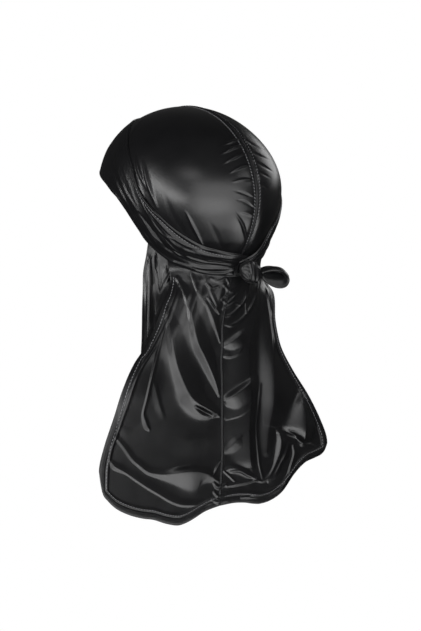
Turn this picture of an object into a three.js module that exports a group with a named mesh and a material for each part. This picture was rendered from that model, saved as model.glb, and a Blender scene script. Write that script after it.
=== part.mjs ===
import * as THREE from 'three';

// Durag, tied and kept in its worn form. Millimetres, Z up, opening downward, back at +Y, left side at +X.
// Angles run round it from the back (0) to the left side (90) to the front (180).
// Elevations are seen from the middle of the crown's form: 0 level, positive upward.

// Rounded form that the cloth is stretched over
const formLength = 197; // front to back, over the crown
const formWidth = 162; // side to side, over the crown
const formHeight = 160; // top to bottom
const formTilt = 12.4; // degrees, the back lower
const columnWidth = 120; // side to side of the narrower column below, where the tail hangs
const columnDepth = 128; // front to back

// Cloth
const cloth = 1.0; // thickness of every layer
const hemCloth = 1.9; // thickness of the folded hem
const clearance = 0.45; // between one layer and the next
const templeLift = 1.15; // of the strap above the crown, where nothing lies between
const panelGap = 0.4; // between two panels under their seam

// Seams
const seamWidth = 3.4;
const seamHeight = 1.0;

// Crown
const crownTilt = 44; // degrees, slope of its rim from front to nape
const rimInset = 4; // degrees that the rim stays off the two ends of its axis
const seamEnd = 6.4; // degrees from the nape end of the axis to the end of the seam
const crownFoldWidth = 8; // of a usual tension fold
const crownFoldDepth = 0.85;

// Knot and loop
const knotAngle = -2; // degrees round
const knotElevation = -44;
const knotWidth = 24;
const knotHeight = 25;
const knotDepth = 17;
const loopLength = 27;
const loopHeight = 20;
const loopWidth = 15; // of the strap that forms it
const loopCloth = 2.4; // strap folded double

// Tail
const tailWidth = 280; // widest, over both hems
const tailLength = 247; // from its hidden top edge to the lowest point
const tailTop = -60; // height of its top edge from the middle of the form
const hemWidth = 7;
const foldWidth = 10; // of a usual fold
const foldDepth = 6; // height of a usual fold
const sideWave = 2.2; // half height of the waves of the under layer

// Layers, each one's inner face above the crown's outer face
const tailLift = clearance;
const strapLift = tailLift + cloth + clearance;
const foldLift = cloth + clearance;
const crossLift = strapLift + 2 * foldLift;

const DEG = Math.PI / 180;
const clamp01 = (t) => Math.min(1, Math.max(0, t));
const smooth = (from, to, t) => {
  const s = clamp01((t - from) / (to - from));
  return s * s * (3 - 2 * s);
};
const mix = (a, b, t) => a + (b - a) * t;

// Smooth interpolation in a table whose first column rises. Returns the other columns at t.
function along(table, t) {
  const last = table.length - 1;
  let i = 0;
  while (i < last - 1 && t > table[i + 1][0]) i++;
  const [p0, p1, p2, p3] = [table[Math.max(0, i - 1)], table[i], table[i + 1], table[Math.min(last, i + 2)]];
  const span = p2[0] - p1[0];
  const s = clamp01((t - p1[0]) / span);
  return p1.slice(1).map((value, k) => {
    const c = k + 1;
    const before = i > 0 ? (p2[c] - p0[c]) / (p2[0] - p0[0]) : (p2[c] - value) / span;
    const after = i < last - 1 ? (p3[c] - value) / (p3[0] - p1[0]) : (p2[c] - value) / span;
    const s2 = s * s;
    const s3 = s2 * s;
    return (2 * s3 - 3 * s2 + 1) * value + (s3 - 2 * s2 + s) * span * before
      + (3 * s2 - 2 * s3) * p2[c] + (s3 - s2) * span * after;
  });
}

// Flatter places of the form: round, up, spread, all in degrees; depth as a share of the form's width.
const formFlats = [
  [-54, 40, 30, 0.010],
  [-42, -20, 20, 0.026],
];

// Surface of the form: a tilted ellipsoid with its flatter places, that turns into an oval column below.
const tiltCos = Math.cos(formTilt * DEG);
const tiltSin = Math.sin(formTilt * DEG);
const COLUMN_BLEND = 9; // sharpness of the change to the column

function ellipsoidRadius(d) {
  const y = d.y * tiltCos - d.z * tiltSin;
  const z = d.y * tiltSin + d.z * tiltCos;
  const flat = formFlats.reduce((sum, [round, up, spread, depth]) => {
    const apart = d.angleTo(direction(round, up)) / DEG;
    return sum + depth * formWidth * Math.exp(-((apart / spread) ** 2));
  }, 0);
  return 1 / Math.hypot(d.x / (formWidth / 2), y / (formLength / 2), z / (formHeight / 2)) - flat;
}

function formRadius(d) {
  const form = ellipsoidRadius(d);
  const level = Math.hypot(d.x, d.y);
  if (level < 1e-6) return form;
  const columnRound = 1 / Math.hypot(d.x / level / (columnWidth / 2), d.y / level / (columnDepth / 2));
  const below = smooth(0.1, -0.6, d.z / level);
  const column = (columnRound / level) * below;
  return (form ** COLUMN_BLEND + column ** COLUMN_BLEND) ** (1 / COLUMN_BLEND);
}

const onForm = (d) => d.clone().multiplyScalar(formRadius(d));

function direction(angle, elevation) {
  const a = angle * DEG;
  const e = elevation * DEG;
  return new THREE.Vector3(Math.sin(a) * Math.cos(e), Math.cos(a) * Math.cos(e), Math.sin(e));
}

function formNormal(d) {
  const side = new THREE.Vector3(d.y, -d.x, 0);
  if (side.length() < 1e-6) side.set(1, 0, 0);
  side.normalize();
  const over = new THREE.Vector3().crossVectors(side, d).normalize();
  const step = 0.01;
  const at = (v, s) => onForm(d.clone().addScaledVector(v, s).normalize());
  const tangent1 = at(side, step).sub(at(side, -step));
  const tangent2 = at(over, step).sub(at(over, -step));
  const n = tangent1.cross(tangent2).normalize();
  return n.dot(d) < 0 ? n.negate() : n;
}

const lifted = (d, lift) => onForm(d).addScaledVector(formNormal(d), lift);

// Closed solid between two grids of points, one row per first index; outer faces outward.
function shell(outer, inner) {
  const rows = outer.length;
  const cols = outer[0].length;
  const positions = [];
  const index = [];
  for (const grid of [outer, inner]) for (const row of grid) for (const p of row) positions.push(p.x, p.y, p.z);
  const at = (layer, i, j) => (layer * rows + i) * cols + j;
  const quad = (a, b, c, d) => index.push(a, b, c, a, c, d);
  for (let i = 0; i < rows - 1; i++) {
    for (let j = 0; j < cols - 1; j++) {
      const corners = [[i, j], [i + 1, j], [i + 1, j + 1], [i, j + 1]];
      const [p, q, r, s] = corners.map(([m, n]) => outer[m][n]);
      if (q.distanceTo(s) < p.distanceTo(r)) corners.push(corners.shift());
      quad(...corners.map(([m, n]) => at(0, m, n)));
      quad(...corners.map(([m, n]) => at(1, m, n)).reverse());
    }
  }
  for (let i = 0; i < rows - 1; i++) {
    quad(at(0, i, 0), at(1, i, 0), at(1, i + 1, 0), at(0, i + 1, 0));
    quad(at(0, i, cols - 1), at(0, i + 1, cols - 1), at(1, i + 1, cols - 1), at(1, i, cols - 1));
  }
  for (let j = 0; j < cols - 1; j++) {
    quad(at(0, 0, j), at(0, 0, j + 1), at(1, 0, j + 1), at(1, 0, j));
    quad(at(0, rows - 1, j), at(1, rows - 1, j), at(1, rows - 1, j + 1), at(0, rows - 1, j + 1));
  }
  return solid(positions, index);
}

// Closed solid from sections of equal length joined along a path, with a flat fan at each end.
function sweep(sections) {
  const n = sections[0].length;
  const positions = [];
  const index = [];
  for (const s of sections) for (const p of s) positions.push(p.x, p.y, p.z);
  for (let i = 0; i < sections.length - 1; i++) {
    for (let j = 0; j < n; j++) {
      const k = (j + 1) % n;
      const [a, b, c, d] = [i * n + j, (i + 1) * n + j, (i + 1) * n + k, i * n + k];
      index.push(a, b, c, a, c, d);
    }
  }
  const last = (sections.length - 1) * n;
  for (let j = 1; j < n - 1; j++) {
    index.push(0, j, j + 1);
    index.push(last, last + j + 1, last + j);
  }
  return solid(positions, index);
}

// Geometry with its faces turned outward.
function solid(positions, index) {
  const p = (i) => new THREE.Vector3(positions[3 * i], positions[3 * i + 1], positions[3 * i + 2]);
  let volume = 0;
  for (let i = 0; i < index.length; i += 3) {
    volume += p(index[i]).dot(p(index[i + 1]).cross(p(index[i + 2])));
  }
  if (volume < 0) for (let i = 0; i < index.length; i += 3) [index[i], index[i + 1]] = [index[i + 1], index[i]];
  const geometry = new THREE.BufferGeometry();
  geometry.setAttribute('position', new THREE.Float32BufferAttribute(positions, 3));
  geometry.setIndex(index);
  geometry.computeVertexNormals();
  return geometry;
}

// Normals of a grid of points, from its neighbours, turned to the side of the given direction.
function gridNormals(grid, facing) {
  return grid.map((row, i) => row.map((p, j) => {
    const down = grid[Math.min(i + 1, grid.length - 1)][j].clone().sub(grid[Math.max(i - 1, 0)][j]);
    const across = row[Math.min(j + 1, row.length - 1)].clone().sub(row[Math.max(j - 1, 0)]);
    const n = down.cross(across).normalize();
    return n.dot(facing(p)) < 0 ? n.negate() : n;
  }));
}

const offsetGrid = (grid, normals, lift) => grid.map((row, i) =>
  row.map((p, j) => p.clone().addScaledVector(normals[i][j], lift(i, j))));

const steps = (count, from = 0, to = 1) =>
  Array.from({ length: count + 1 }, (_, i) => mix(from, to, i / count));

// A ridge or valley along a curve through three points. Full in the middle, fading at both ends.
function creaseCurve(points) {
  return steps(12).map((t) => {
    const q = points[0].clone().multiplyScalar((1 - t) ** 2);
    q.addScaledVector(points[1], 2 * t * (1 - t)).addScaledVector(points[2], t * t);
    return q;
  });
}

function creaseHeight(p, crease) {
  let best = Infinity;
  let bestT = 0;
  const line = crease.line;
  for (let k = 0; k < line.length - 1; k++) {
    const ab = line[k + 1].clone().sub(line[k]);
    const t = clamp01(p.clone().sub(line[k]).dot(ab) / ab.lengthSq());
    const d = p.distanceTo(line[k].clone().addScaledVector(ab, t));
    if (d < best) {
      best = d;
      bestT = (k + t) / (line.length - 1);
    }
  }
  const fade = smooth(0, 0.22, bestT) * smooth(1, 0.72, bestT);
  return crease.depth * fade * Math.exp(-((best / crease.width) ** 2));
}

// Crown. Its grid runs from the nape end of a tilted front-to-back axis to the front end, and from the seam
// to the side rim, so one grid line lies along the seam.
const axisBack = direction(0, -crownTilt);
const axisUp = direction(0, 90 - crownTilt);
const axisSide = new THREE.Vector3(1, 0, 0);

function crownDirection(fromNape, fromSeam) {
  const a = fromNape * DEG;
  const g = fromSeam * DEG;
  return new THREE.Vector3()
    .addScaledVector(axisBack, Math.cos(a))
    .addScaledVector(axisUp, Math.sin(a) * Math.cos(g))
    .addScaledVector(axisSide, Math.sin(a) * Math.sin(g));
}

// Shallow tension folds of the crown: start round and up, end round and up, in degrees; width and depth as
// shares of a usual one's.
const crownFolds = [
  [92, 34, 70, -2, 0.75, -1.05],
  [84, 40, 62, 2, 0.9, -0.8],
  [74, 46, 52, -4, 1, -0.95],
  [40, 4, 22, -30, 1.1, -1.05],
  [14, 2, 5, -28, 0.9, -1.05],
  [12, 58, 2, 18, 0.75, -0.95],
  [-12, 58, -3, 18, 0.75, -0.95],
  [-30, 30, -12, -18, 1, -1.05],
  [-84, 38, -60, 0, 1, -0.95],
];

const crownCreases = crownFolds.map(([round1, up1, round2, up2, width, depth]) => {
  const ends = [direction(round1, up1), direction(round2, up2)];
  const middle = ends[0].clone().add(ends[1]).normalize();
  const line = creaseCurve([onForm(ends[0]), onForm(middle), onForm(ends[1])]);
  return { line, width: width * crownFoldWidth, depth: depth * crownFoldDepth };
});

// Fine columns beside the seam, then even ones to the rim.
const seamShare = (seamWidth / formWidth) * (180 / Math.PI);
const crownColumns = [0, seamShare, ...steps(13, 0.07 * 90, 90)];
const crownRows = steps(21, rimInset, 180 - rimInset);

function crownPoint(fromNape, fromSeam, side, lift) {
  const d = crownDirection(fromNape, fromSeam);
  d.x *= side;
  const p = onForm(d);
  const dent = crownCreases.reduce((sum, crease) => sum + creaseHeight(p, crease), 0);
  p.addScaledVector(formNormal(d), lift + dent);
  p.x += side * panelGap / 2;
  return p;
}

function crownHalf(side) {
  const grid = (lift) => crownRows.map((a) => crownColumns.map((g) => crownPoint(a, g, side, lift)));
  return shell(grid(0), grid(-cloth));
}

// Raised seam over the gap between the two crown halves, on the same rows.
function crownSeam() {
  const rows = crownRows.filter((a) => a > seamEnd && a < 180 - seamEnd);
  const ends = [seamEnd, ...rows, 180 - seamEnd];
  const half = seamWidth / 2;
  const sections = ends.map((a) => {
    const d = crownDirection(a, 0);
    const n = formNormal(d);
    const foot = crownPoint(a, 0, 1, clearance).setX(0);
    const top = foot.clone().addScaledVector(n, seamHeight);
    return [
      foot.clone().setX(half), top.clone().addScaledVector(n, -seamHeight / 3).setX(half),
      top.clone().setX(half / 2), top.clone().setX(-half / 2),
      top.clone().addScaledVector(n, -seamHeight / 3).setX(-half), foot.clone().setX(-half),
    ];
  });
  return sweep(sections);
}

// Long strap as it wraps the crown: degrees round, elevation of its upper edge and of its lower edge.
const strapWrap = [
  [-6, -42, -50],
  [8, -41.5, -50],
  [28, -41, -50],
  [40, -38.5, -48],
  [52, -32, -46],
  [62, -19, -41.5],
  [68, -10, -37.5],
  [75, 4, -31],
  [80, 14, -24.5],
  [87, 23, -14],
  [95, 31, -5.5],
  [101, 37, -1],
  [114, 45, 9],
  [137, 51, 17],
  [180, 53, 21],
  [223, 51, 17],
  [246, 45, 9],
  [259, 37, -1],
  [273, 23, -14],
  [286, 10, -26],
  [300, -2, -34],
  [315, -12, -39],
  [330, -21, -42],
  [340, -28, -43],
  [350, -37, -45],
  [358, -42, -48],
  [365, -44, -49.5],
];

// Folded upper layer of the strap, left and right, with the same columns.
const foldLeft = [
  [-4, -37.5, -45],
  [6, -36, -45],
  [18, -34.5, -44],
  [31, -32, -43.5],
  [43, -27, -40.5],
  [51, -22, -36],
  [59, -15, -27],
  [66, -8.5, -17],
  [73, 0.5, -4],
  [79, 12, 7],
];
const foldRight = [
  [282, 13, 8],
  [292, 7, -2],
  [300, 4, -7],
  [315, -3, -17],
  [330, -11.5, -26],
  [340, -18.5, -33],
  [345, -26, -38],
  [351, -32, -42],
  [356, -36, -44],
  [364, -40, -46.5],
];

// Height of the strap's inner face above the crown: low where nothing lies between, higher above the tail and
// the seam at the nape, above the left strap where the right one crosses it, and above the seam at the front.
function wrapInner(angle, elevation) {
  const back = (smooth(97, 80, angle) + smooth(263, 280, angle)) * smooth(-26, -35.5, elevation);
  const front = smooth(168, 174, angle) * smooth(192, 186, angle);
  const cross = smooth(343, 353, angle);
  return templeLift + (strapLift - templeLift) * Math.max(back, front) + (crossLift - strapLift) * cross;
}

// The same for the folded layer, which steps down from the wrap onto the crown.
function foldInner(angle, elevation) {
  const [wrapTop] = along(strapWrap, angle);
  return wrapInner(angle, elevation) + foldLift * smooth(wrapTop + 8, wrapTop + 3, elevation);
}

function strapBand(table, lengthwise, crosswise, innerHeight) {
  const rows = steps(lengthwise, table[0][0], table[table.length - 1][0]);
  const grid = (lift) => rows.map((angle) => {
    const [upper, lower] = along(table, angle);
    return steps(crosswise, upper, lower).map((elevation) =>
      lifted(direction(angle, elevation), innerHeight(angle, elevation) + lift));
  });
  return shell(grid(cloth), grid(0));
}

// Knot: a lump wound from the two straps, with the winding strap as a raised band round its waist.
const KNOT_SLOPE = 0.08; // rise of each end as a share of the knot's height
const knotNormal = direction(knotAngle, 0);
const knotAcross = direction(knotAngle + 90, 0);
const knotUp = new THREE.Vector3(0, 0, 1);
const knotLift = crossLift + 2 * foldLift + 3 * clearance + knotDepth / 2;
const knotMiddle = lifted(direction(knotAngle, knotElevation), knotLift);

function knot() {
  const around = 18;
  const sections = steps(14, -1, 1).map((s) => {
    const shrink = Math.sqrt(Math.max(0.02, 1 - s * s * 0.94));
    const waist = 1 + 0.16 * Math.exp(-((s / 0.32) ** 2));
    return Array.from({ length: around }, (_, j) => {
      const a = (j / around) * 2 * Math.PI;
      const pleat = 1 + 0.05 * Math.cos(6 * a + 2.4 * s);
      const r = shrink * waist * pleat / 1.16;
      return knotMiddle.clone()
        .addScaledVector(knotAcross, s * knotWidth / 2)
        .addScaledVector(knotUp, (Math.sin(a) * r / 2 + s * KNOT_SLOPE) * knotHeight)
        .addScaledVector(knotNormal, Math.cos(a) * r * knotDepth / 2);
    });
  });
  return sweep(sections);
}

// Bow loop: share of its length out from the knot, share of its height up, share of the strap's width.
const loopPath = [
  [0, 0.00, 0.16, 0.60],
  [0.12, 0.22, 0.34, 0.85],
  [0.26, 0.55, 0.52, 1.00],
  [0.40, 0.86, 0.36, 1.05],
  [0.50, 1.00, -0.04, 1.05],
  [0.60, 0.88, -0.38, 1.05],
  [0.74, 0.56, -0.48, 1.00],
  [0.88, 0.22, -0.32, 0.85],
  [1, 0.00, -0.16, 0.60],
];
const loopOut = direction(knotAngle - 75, -6); // toward the right side and slightly down
const loopAcross = direction(knotAngle + 15, 0); // the way the open side of the loop faces

function bowLoop() {
  const start = knotMiddle.clone().addScaledVector(loopOut, knotWidth / 2 + clearance);
  const at = (t) => along(loopPath, t);
  const sections = steps(24).map((t) => {
    const [out, high, width] = at(t);
    const [out0, high0] = at(Math.max(0, t - 0.02));
    const [out1, high1] = at(Math.min(1, t + 0.02));
    const tangent = loopOut.clone().multiplyScalar((out1 - out0) * loopLength)
      .addScaledVector(knotUp, (high1 - high0) * loopHeight).normalize();
    const normal = new THREE.Vector3().crossVectors(loopAcross, tangent).normalize();
    const centre = start.clone().addScaledVector(loopOut, out * loopLength);
    centre.addScaledVector(knotUp, high * loopHeight);
    const [w, c] = [width * loopWidth / 2, loopCloth / 2];
    return [[-1, -0.5], [-0.85, -1], [0.85, -1], [1, -0.5], [1, 0.5], [0.85, 1], [-0.85, 1], [-1, 0.5]]
      .map(([x, y]) => centre.clone().addScaledVector(loopAcross, x * w).addScaledVector(normal, y * c));
  });
  return sweep(sections);
}

// Tail. Depth below its top edge and distances from the middle as shares of the tail's length and half width:
// depth, seam across, seam back, left edge across and back, right edge across and back.
const half = tailWidth / 2;
const tailPlan = [
  [0.00, 0.02, 0.48, 0.360, 0.28, -0.350, 0.28],
  [0.10, 0.03, 0.485, 0.400, 0.29, -0.400, 0.31],
  [0.16, 0.05, 0.49, 0.470, 0.32, -0.448, 0.35],
  [0.26, 0.09, 0.49, 0.570, 0.34, -0.446, 0.37],
  [0.34, 0.10, 0.48, 0.680, 0.36, -0.472, 0.38],
  [0.39, 0.10, 0.47, 0.765, 0.37, -0.512, 0.38],
  [0.47, 0.105, 0.46, 0.865, 0.39, -0.602, 0.39],
  [0.57, 0.10, 0.455, 0.945, 0.40, -0.735, 0.40],
  [0.68, 0.095, 0.45, 1.035, 0.41, -0.850, 0.41],
  [0.76, 0.09, 0.445, 1.080, 0.42, -0.900, 0.42],
  [1.00, 0.12, 0.44, 1.085, 0.43, -0.905, 0.42],
];

// Bottom edge: share of the width from the seam to the hem, depth on the left, depth on the right.
const tailBottom = [
  [0.00, 0.952, 0.952],
  [0.12, 0.964, 0.950],
  [0.22, 0.985, 0.956],
  [0.34, 1.000, 0.970],
  [0.46, 0.985, 0.962],
  [0.56, 0.966, 0.935],
  [0.66, 0.953, 0.875],
  [0.76, 0.934, 0.836],
  [0.86, 0.905, 0.822],
  [0.93, 0.870, 0.812],
  [0.97, 0.838, 0.796],
  [1.00, 0.760, 0.770],
];

// Folds of the tail: side (1 left, -1 right), then three points as share of the width from the seam and share of
// the depth, then width and height as shares of a usual fold's.
const tailFolds = [
  [1, 0.84, 0.14, 0.88, 0.42, 0.98, 0.70, 0.9, 1],
  [1, 0.74, 0.16, 0.70, 0.40, 0.60, 0.64, 1.1, -1.17],
  [1, 0.70, 0.12, 0.50, 0.36, 0.10, 0.60, 0.9, 1.33],
  [1, 0.52, 0.16, 0.34, 0.28, 0.04, 0.42, 0.8, 0.83],
  [1, 0.58, 0.34, 0.40, 0.50, 0.26, 0.58, 0.9, -0.67],
  [1, 0.86, 0.36, 0.60, 0.56, 0.34, 0.68, 0.9, 0.67],
  [1, 0.42, 0.60, 0.24, 0.68, 0.08, 0.66, 1.2, 0.67],
  [1, 0.96, 0.70, 0.72, 0.88, 0.12, 0.85, 1.1, 1],
  [1, 0.92, 0.84, 0.60, 0.76, 0.16, 0.76, 1.1, -0.67],
  [-1, 0.34, 0.16, 0.26, 0.30, 0.02, 0.28, 0.8, 0.83],
  [-1, 0.34, 0.26, 0.22, 0.42, 0.04, 0.40, 0.9, -0.67],
  [-1, 0.62, 0.12, 0.64, 0.42, 0.30, 0.88, 1, 1.5],
  [-1, 0.42, 0.28, 0.40, 0.52, 0.18, 0.72, 1, -1.17],
  [-1, 0.92, 0.16, 0.84, 0.44, 0.92, 0.68, 0.9, 0.67],
  [-1, 0.80, 0.26, 0.72, 0.56, 0.62, 0.84, 1.1, -1],
  [-1, 0.80, 0.62, 0.60, 0.80, 0.44, 0.92, 1, 0.83],
];

const tailFacing = () => new THREE.Vector3(0, 1, 0);

const TAIL_STAND = 0.53; // distance of the tail's top from the middle, as a share of the column's depth

// Undisturbed tail at share u from the seam to the hem and share v from top to bottom.
function tailBase(side, u, v) {
  const [bottomLeft, bottomRight] = along(tailBottom, u);
  const depth = v * (side > 0 ? bottomLeft : bottomRight);
  const [seamX, seamY, leftX, leftY, rightX, rightY] = along(tailPlan, depth);
  const [edgeX, edgeY] = side > 0 ? [leftX, leftY] : [rightX, rightY];
  const bend = 1 - (1 - u) ** 2;
  const y = seamY + (edgeY - seamY) * u * u;
  const hanging = new THREE.Vector3(
    mix(mix(seamX, edgeX, u), mix(seamX, edgeX, bend), 0.25 * (1 - depth)) * half,
    y * half,
    tailTop - depth * tailLength,
  );
  // Wrapped part: on the column below the crown, one layer out.
  const angle = mix(2, side > 0 ? 57 : -53, u);
  const elevation = Math.atan2(hanging.z, columnDepth * TAIL_STAND) / DEG;
  const wrapped = lifted(direction(angle, elevation), tailLift + cloth / 2);
  return wrapped.lerp(hanging, smooth(0.1, 0.22, depth));
}

const tailCreases = tailFolds.map(([side, u0, v0, u1, v1, u2, v2, width, depth]) => {
  const points = [[u0, v0], [u1, v1], [u2, v2]].map(([u, v]) => tailBase(side, u, v));
  return { line: creaseCurve(points), width: width * foldWidth, depth: depth * foldDepth };
});

function tailMiddle(side, u, v) {
  const p = tailBase(side, u, v);
  const height = tailCreases.reduce((sum, crease) => sum + creaseHeight(p, crease), 0);
  const free = smooth(0.09, 0.2, v);
  const outward = new THREE.Vector3((p.x / half) * 0.56, 1, 0).normalize();
  return p.addScaledVector(outward, height * free);
}

const seamU = seamWidth / tailWidth * 1.6;
const hemU = 1 - hemWidth / half;
const hemV = 1 - hemWidth / tailLength;
const tailColumns = [0, seamU, ...steps(19, 0.07, 0.91), hemU, 1];
const tailRows = [0, 0.03, 0.06, 0.09, ...steps(16, 0.13, 0.935), hemV, 1];

function tailGrid(side, columns) {
  return tailRows.map((v) => columns.map((u) => tailMiddle(side, u, v)));
}

function tailHalf(side) {
  const grid = tailGrid(side, tailColumns);
  const normals = gridNormals(grid, tailFacing);
  const lastRow = tailRows.length - 2;
  const lastColumn = tailColumns.length - 2;
  const thickness = (i, j) => (i >= lastRow || j >= lastColumn) && i > 2 ? hemCloth : cloth;
  const outer = offsetGrid(grid, normals, (i, j) => thickness(i, j) - cloth / 2);
  const inner = offsetGrid(grid, normals, () => -cloth / 2);
  const shifted = [outer, inner];
  for (const g of shifted) for (const row of g) for (const p of row) p.x += side * panelGap / 2;
  return shell(outer, inner);
}

// Raised seam down the middle of the tail, on the same rows, from below the straps to the hem.
function tailSeam() {
  const columns = [seamU, 0];
  const left = tailGrid(1, columns);
  const right = tailGrid(-1, columns);
  const first = tailRows.findIndex((v) => v > 0.16);
  const foot = (hemCloth - cloth / 2) + clearance;
  const sections = tailRows.slice(first, tailRows.length - 1).map((_, k) => {
    const i = k + first;
    const across = left[i][0].clone().sub(right[i][0]).normalize();
    const down = left[i + 1 < left.length ? i + 1 : i][1].clone().sub(left[i - 1][1]).normalize();
    const n = new THREE.Vector3().crossVectors(across, down).normalize();
    if (n.y < 0) n.negate();
    const middle = left[i][1];
    return [[1, 0], [1, 0.6], [0.5, 1], [-0.5, 1], [-1, 0.6], [-1, 0]].map(([x, y]) =>
      middle.clone().addScaledVector(across, x * seamWidth / 2).addScaledVector(n, foot + y * seamHeight));
  });
  return sweep(sections);
}

// Under layer from below the left strap to behind the tail's left hem. Depth, front edge across and back, hind
// edge across and back, as shares of the tail's length and of a reach: SIDE_REACH times the column's width at
// its top, the tail's half width below.
const SIDE_REACH = 7 / 6;
const sidePlan = [
  [-0.08, 0.475, 0.155, 0.420, 0.295],
  [0.00, 0.500, 0.150, 0.370, 0.245],
  [0.06, 0.520, 0.145, 0.350, 0.225],
  [0.13, 0.522, 0.143, 0.375, 0.247],
  [0.20, 0.525, 0.142, 0.450, 0.303],
  [0.32, 0.530, 0.142, 0.600, 0.335],
  [0.44, 0.560, 0.160, 0.660, 0.350],
];

function sideFold() {
  const rows = steps(14, sidePlan[0][0], sidePlan[sidePlan.length - 1][0]);
  const columns = steps(7);
  const grid = rows.map((depth) => columns.map((u) => {
    const [frontX, frontY, hindX, hindY] = along(sidePlan, depth);
    const wave = sideWave * Math.sin(u * 2.5 * Math.PI) * smooth(0, 0.1, depth);
    const reach = mix(columnWidth * SIDE_REACH, half, smooth(0, 0.2, depth));
    return new THREE.Vector3(
      mix(frontX, hindX, u) * reach + wave,
      mix(frontY, hindY, u) * reach + wave * 0.6,
      tailTop - depth * tailLength,
    );
  }));
  const normals = gridNormals(grid, () => new THREE.Vector3(1, 0.6, 0));
  return shell(offsetGrid(grid, normals, () => cloth / 2), offsetGrid(grid, normals, () => -cloth / 2));
}

// Colours
const satin = new THREE.MeshStandardMaterial({ name: 'satin', color: 0x161618, roughness: 0.34, metalness: 0 });
const thread = new THREE.MeshStandardMaterial({ name: 'thread', color: 0x1c1c1f, roughness: 0.7, metalness: 0 });

const group = new THREE.Group();
group.name = 'durag';

// The origin is the inside of the crown's top.
const topDirection = new THREE.Vector3(0, -Math.sin(formTilt * DEG), Math.cos(formTilt * DEG));
const axisTerms = [formLength / 2 * tiltSin, formHeight / 2 * tiltCos];
const topHeight = Math.hypot(...axisTerms);
const topBack = (((formHeight / 2) ** 2 - (formLength / 2) ** 2) * tiltSin * tiltCos) / topHeight;

function add(name, geometry, material) {
  geometry.translate(0, -topBack, cloth - topHeight);
  const mesh = new THREE.Mesh(geometry, material);
  mesh.name = name;
  group.add(mesh);
}

add('crown_left', crownHalf(1), satin);
add('crown_right', crownHalf(-1), satin);
add('crown_seam', crownSeam(), thread);
add('strap_wrap', strapBand(strapWrap, 62, 5, wrapInner), satin);
add('strap_fold_left', strapBand(foldLeft, 18, 5, foldInner), satin);
add('strap_fold_right', strapBand(foldRight, 18, 5, foldInner), satin);
add('knot', knot(), satin);
add('bow_loop', bowLoop(), satin);
add('tail_left', tailHalf(1), satin);
add('tail_right', tailHalf(-1), satin);
add('tail_seam', tailSeam(), thread);
add('side_fold', sideFold(), satin);

export default group;
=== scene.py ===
"""A black satin durag, tied and kept in its worn form, seen from the back left.

Shapes are worked out in millimetres round the middle of the crown's rounded form, then placed in the
frame in metres. Angles run round it from the back (0) to the left side (90) to the front (180).
"""

import bpy
import numpy as np
from mathutils import Matrix

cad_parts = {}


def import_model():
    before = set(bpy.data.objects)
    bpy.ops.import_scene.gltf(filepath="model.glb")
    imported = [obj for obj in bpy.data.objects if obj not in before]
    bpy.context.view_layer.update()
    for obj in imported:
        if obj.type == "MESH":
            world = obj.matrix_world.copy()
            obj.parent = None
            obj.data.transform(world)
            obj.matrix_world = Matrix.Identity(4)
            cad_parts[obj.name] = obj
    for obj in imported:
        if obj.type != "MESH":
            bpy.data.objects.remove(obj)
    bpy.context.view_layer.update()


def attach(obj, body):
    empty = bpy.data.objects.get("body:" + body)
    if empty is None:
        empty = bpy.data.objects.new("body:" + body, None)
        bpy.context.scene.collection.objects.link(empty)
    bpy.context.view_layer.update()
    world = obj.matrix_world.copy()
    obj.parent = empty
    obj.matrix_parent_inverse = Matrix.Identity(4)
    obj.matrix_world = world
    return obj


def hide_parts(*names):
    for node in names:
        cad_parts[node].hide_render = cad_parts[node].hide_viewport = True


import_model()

MM = 0.001

# Rounded form that the cloth is stretched over, with a narrower column below
FORM_LENGTH = 197.0
FORM_WIDTH = 162.0
FORM_HEIGHT = 160.0
FORM_TILT = np.radians(12.4)
COLUMN_WIDTH = 120.0
COLUMN_DEPTH = 128.0
COLUMN_BLEND = 9

# Cloth and seams
CLOTH = 1.0
PANEL_GAP = 0.2
SEAM_WIDTH = 3.4
SEAM_HEIGHT = 1.1
SEAM_WAVE = 0.12
SEAM_COLUMNS = 13

# Degrees: dip of the crown's axis toward the nape, and how far the panels and the seam rib stop short of
# its ends
CROWN_TILT = 44.0
RIM_INSET = 4.0
SEAM_END = 6.4

# Faces that meet at more than this keep a sharp edge
SHARP_TURN = np.radians(60)

# Width of cloth that one facet round a swept solid stands for
FACET_WIDTH = 1.2

# Rows and columns of the fine grids
CROWN_GRID = (501, 151)
WRAP_GRID = (901, 65)
FOLD_GRID = (401, 57)
KNOT_GRID = (120, 150)
LOOP_GRID = (190, 72)
TAIL_GRID = (365, 213)
SIDE_GRID = (241, 81)
STAGE_GRID = (40, 24)

# Tail
TAIL_WIDTH = 280.0
TAIL_HALF = TAIL_WIDTH / 2
TAIL_LENGTH = 247.0
TAIL_TOP = -60.0
HEM_WIDTH = 9.0
# At the tail's top: degrees round of the seam and of both corners, height of the middle of the cloth above
# the column, and the degrees by which the right corner rises under the strap
TAIL_TOP_MIDDLE = 2.0
TAIL_TOP_LEFT = 57.0
TAIL_TOP_RIGHT = -53.0
TAIL_LIFT = 0.95
TAIL_CORNER_RISE = 8.0

# Height of the fine gathers below the straps
GATHER_LEFT = 0.3
GATHER_RIGHT = 0.14

# Rise of the hem and of the bead along its inner line, depth of the groove of its stitches, roundness of its
# outer edge, how far inside the hem the groove lies, and the half widths of bead, groove and edge
HEM_RISE = 0.3
HEM_BEAD = 0.5
HEM_GROOVE = 0.4
HEM_ROLL = 0.2
HEM_GROOVE_IN = 2.2
HEM_BEAD_WIDTH = 1.2
HEM_GROOVE_WIDTH = 0.6
HEM_ROLL_WIDTH = 1.4

# Shares of the way down at which the hem begins and is full, and usual depth of the bottom edge as a share of
# the tail's length, by which the way up from that edge is measured
HEM_START = (0.1, 0.14)
BOTTOM_REACH = 0.95

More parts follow.
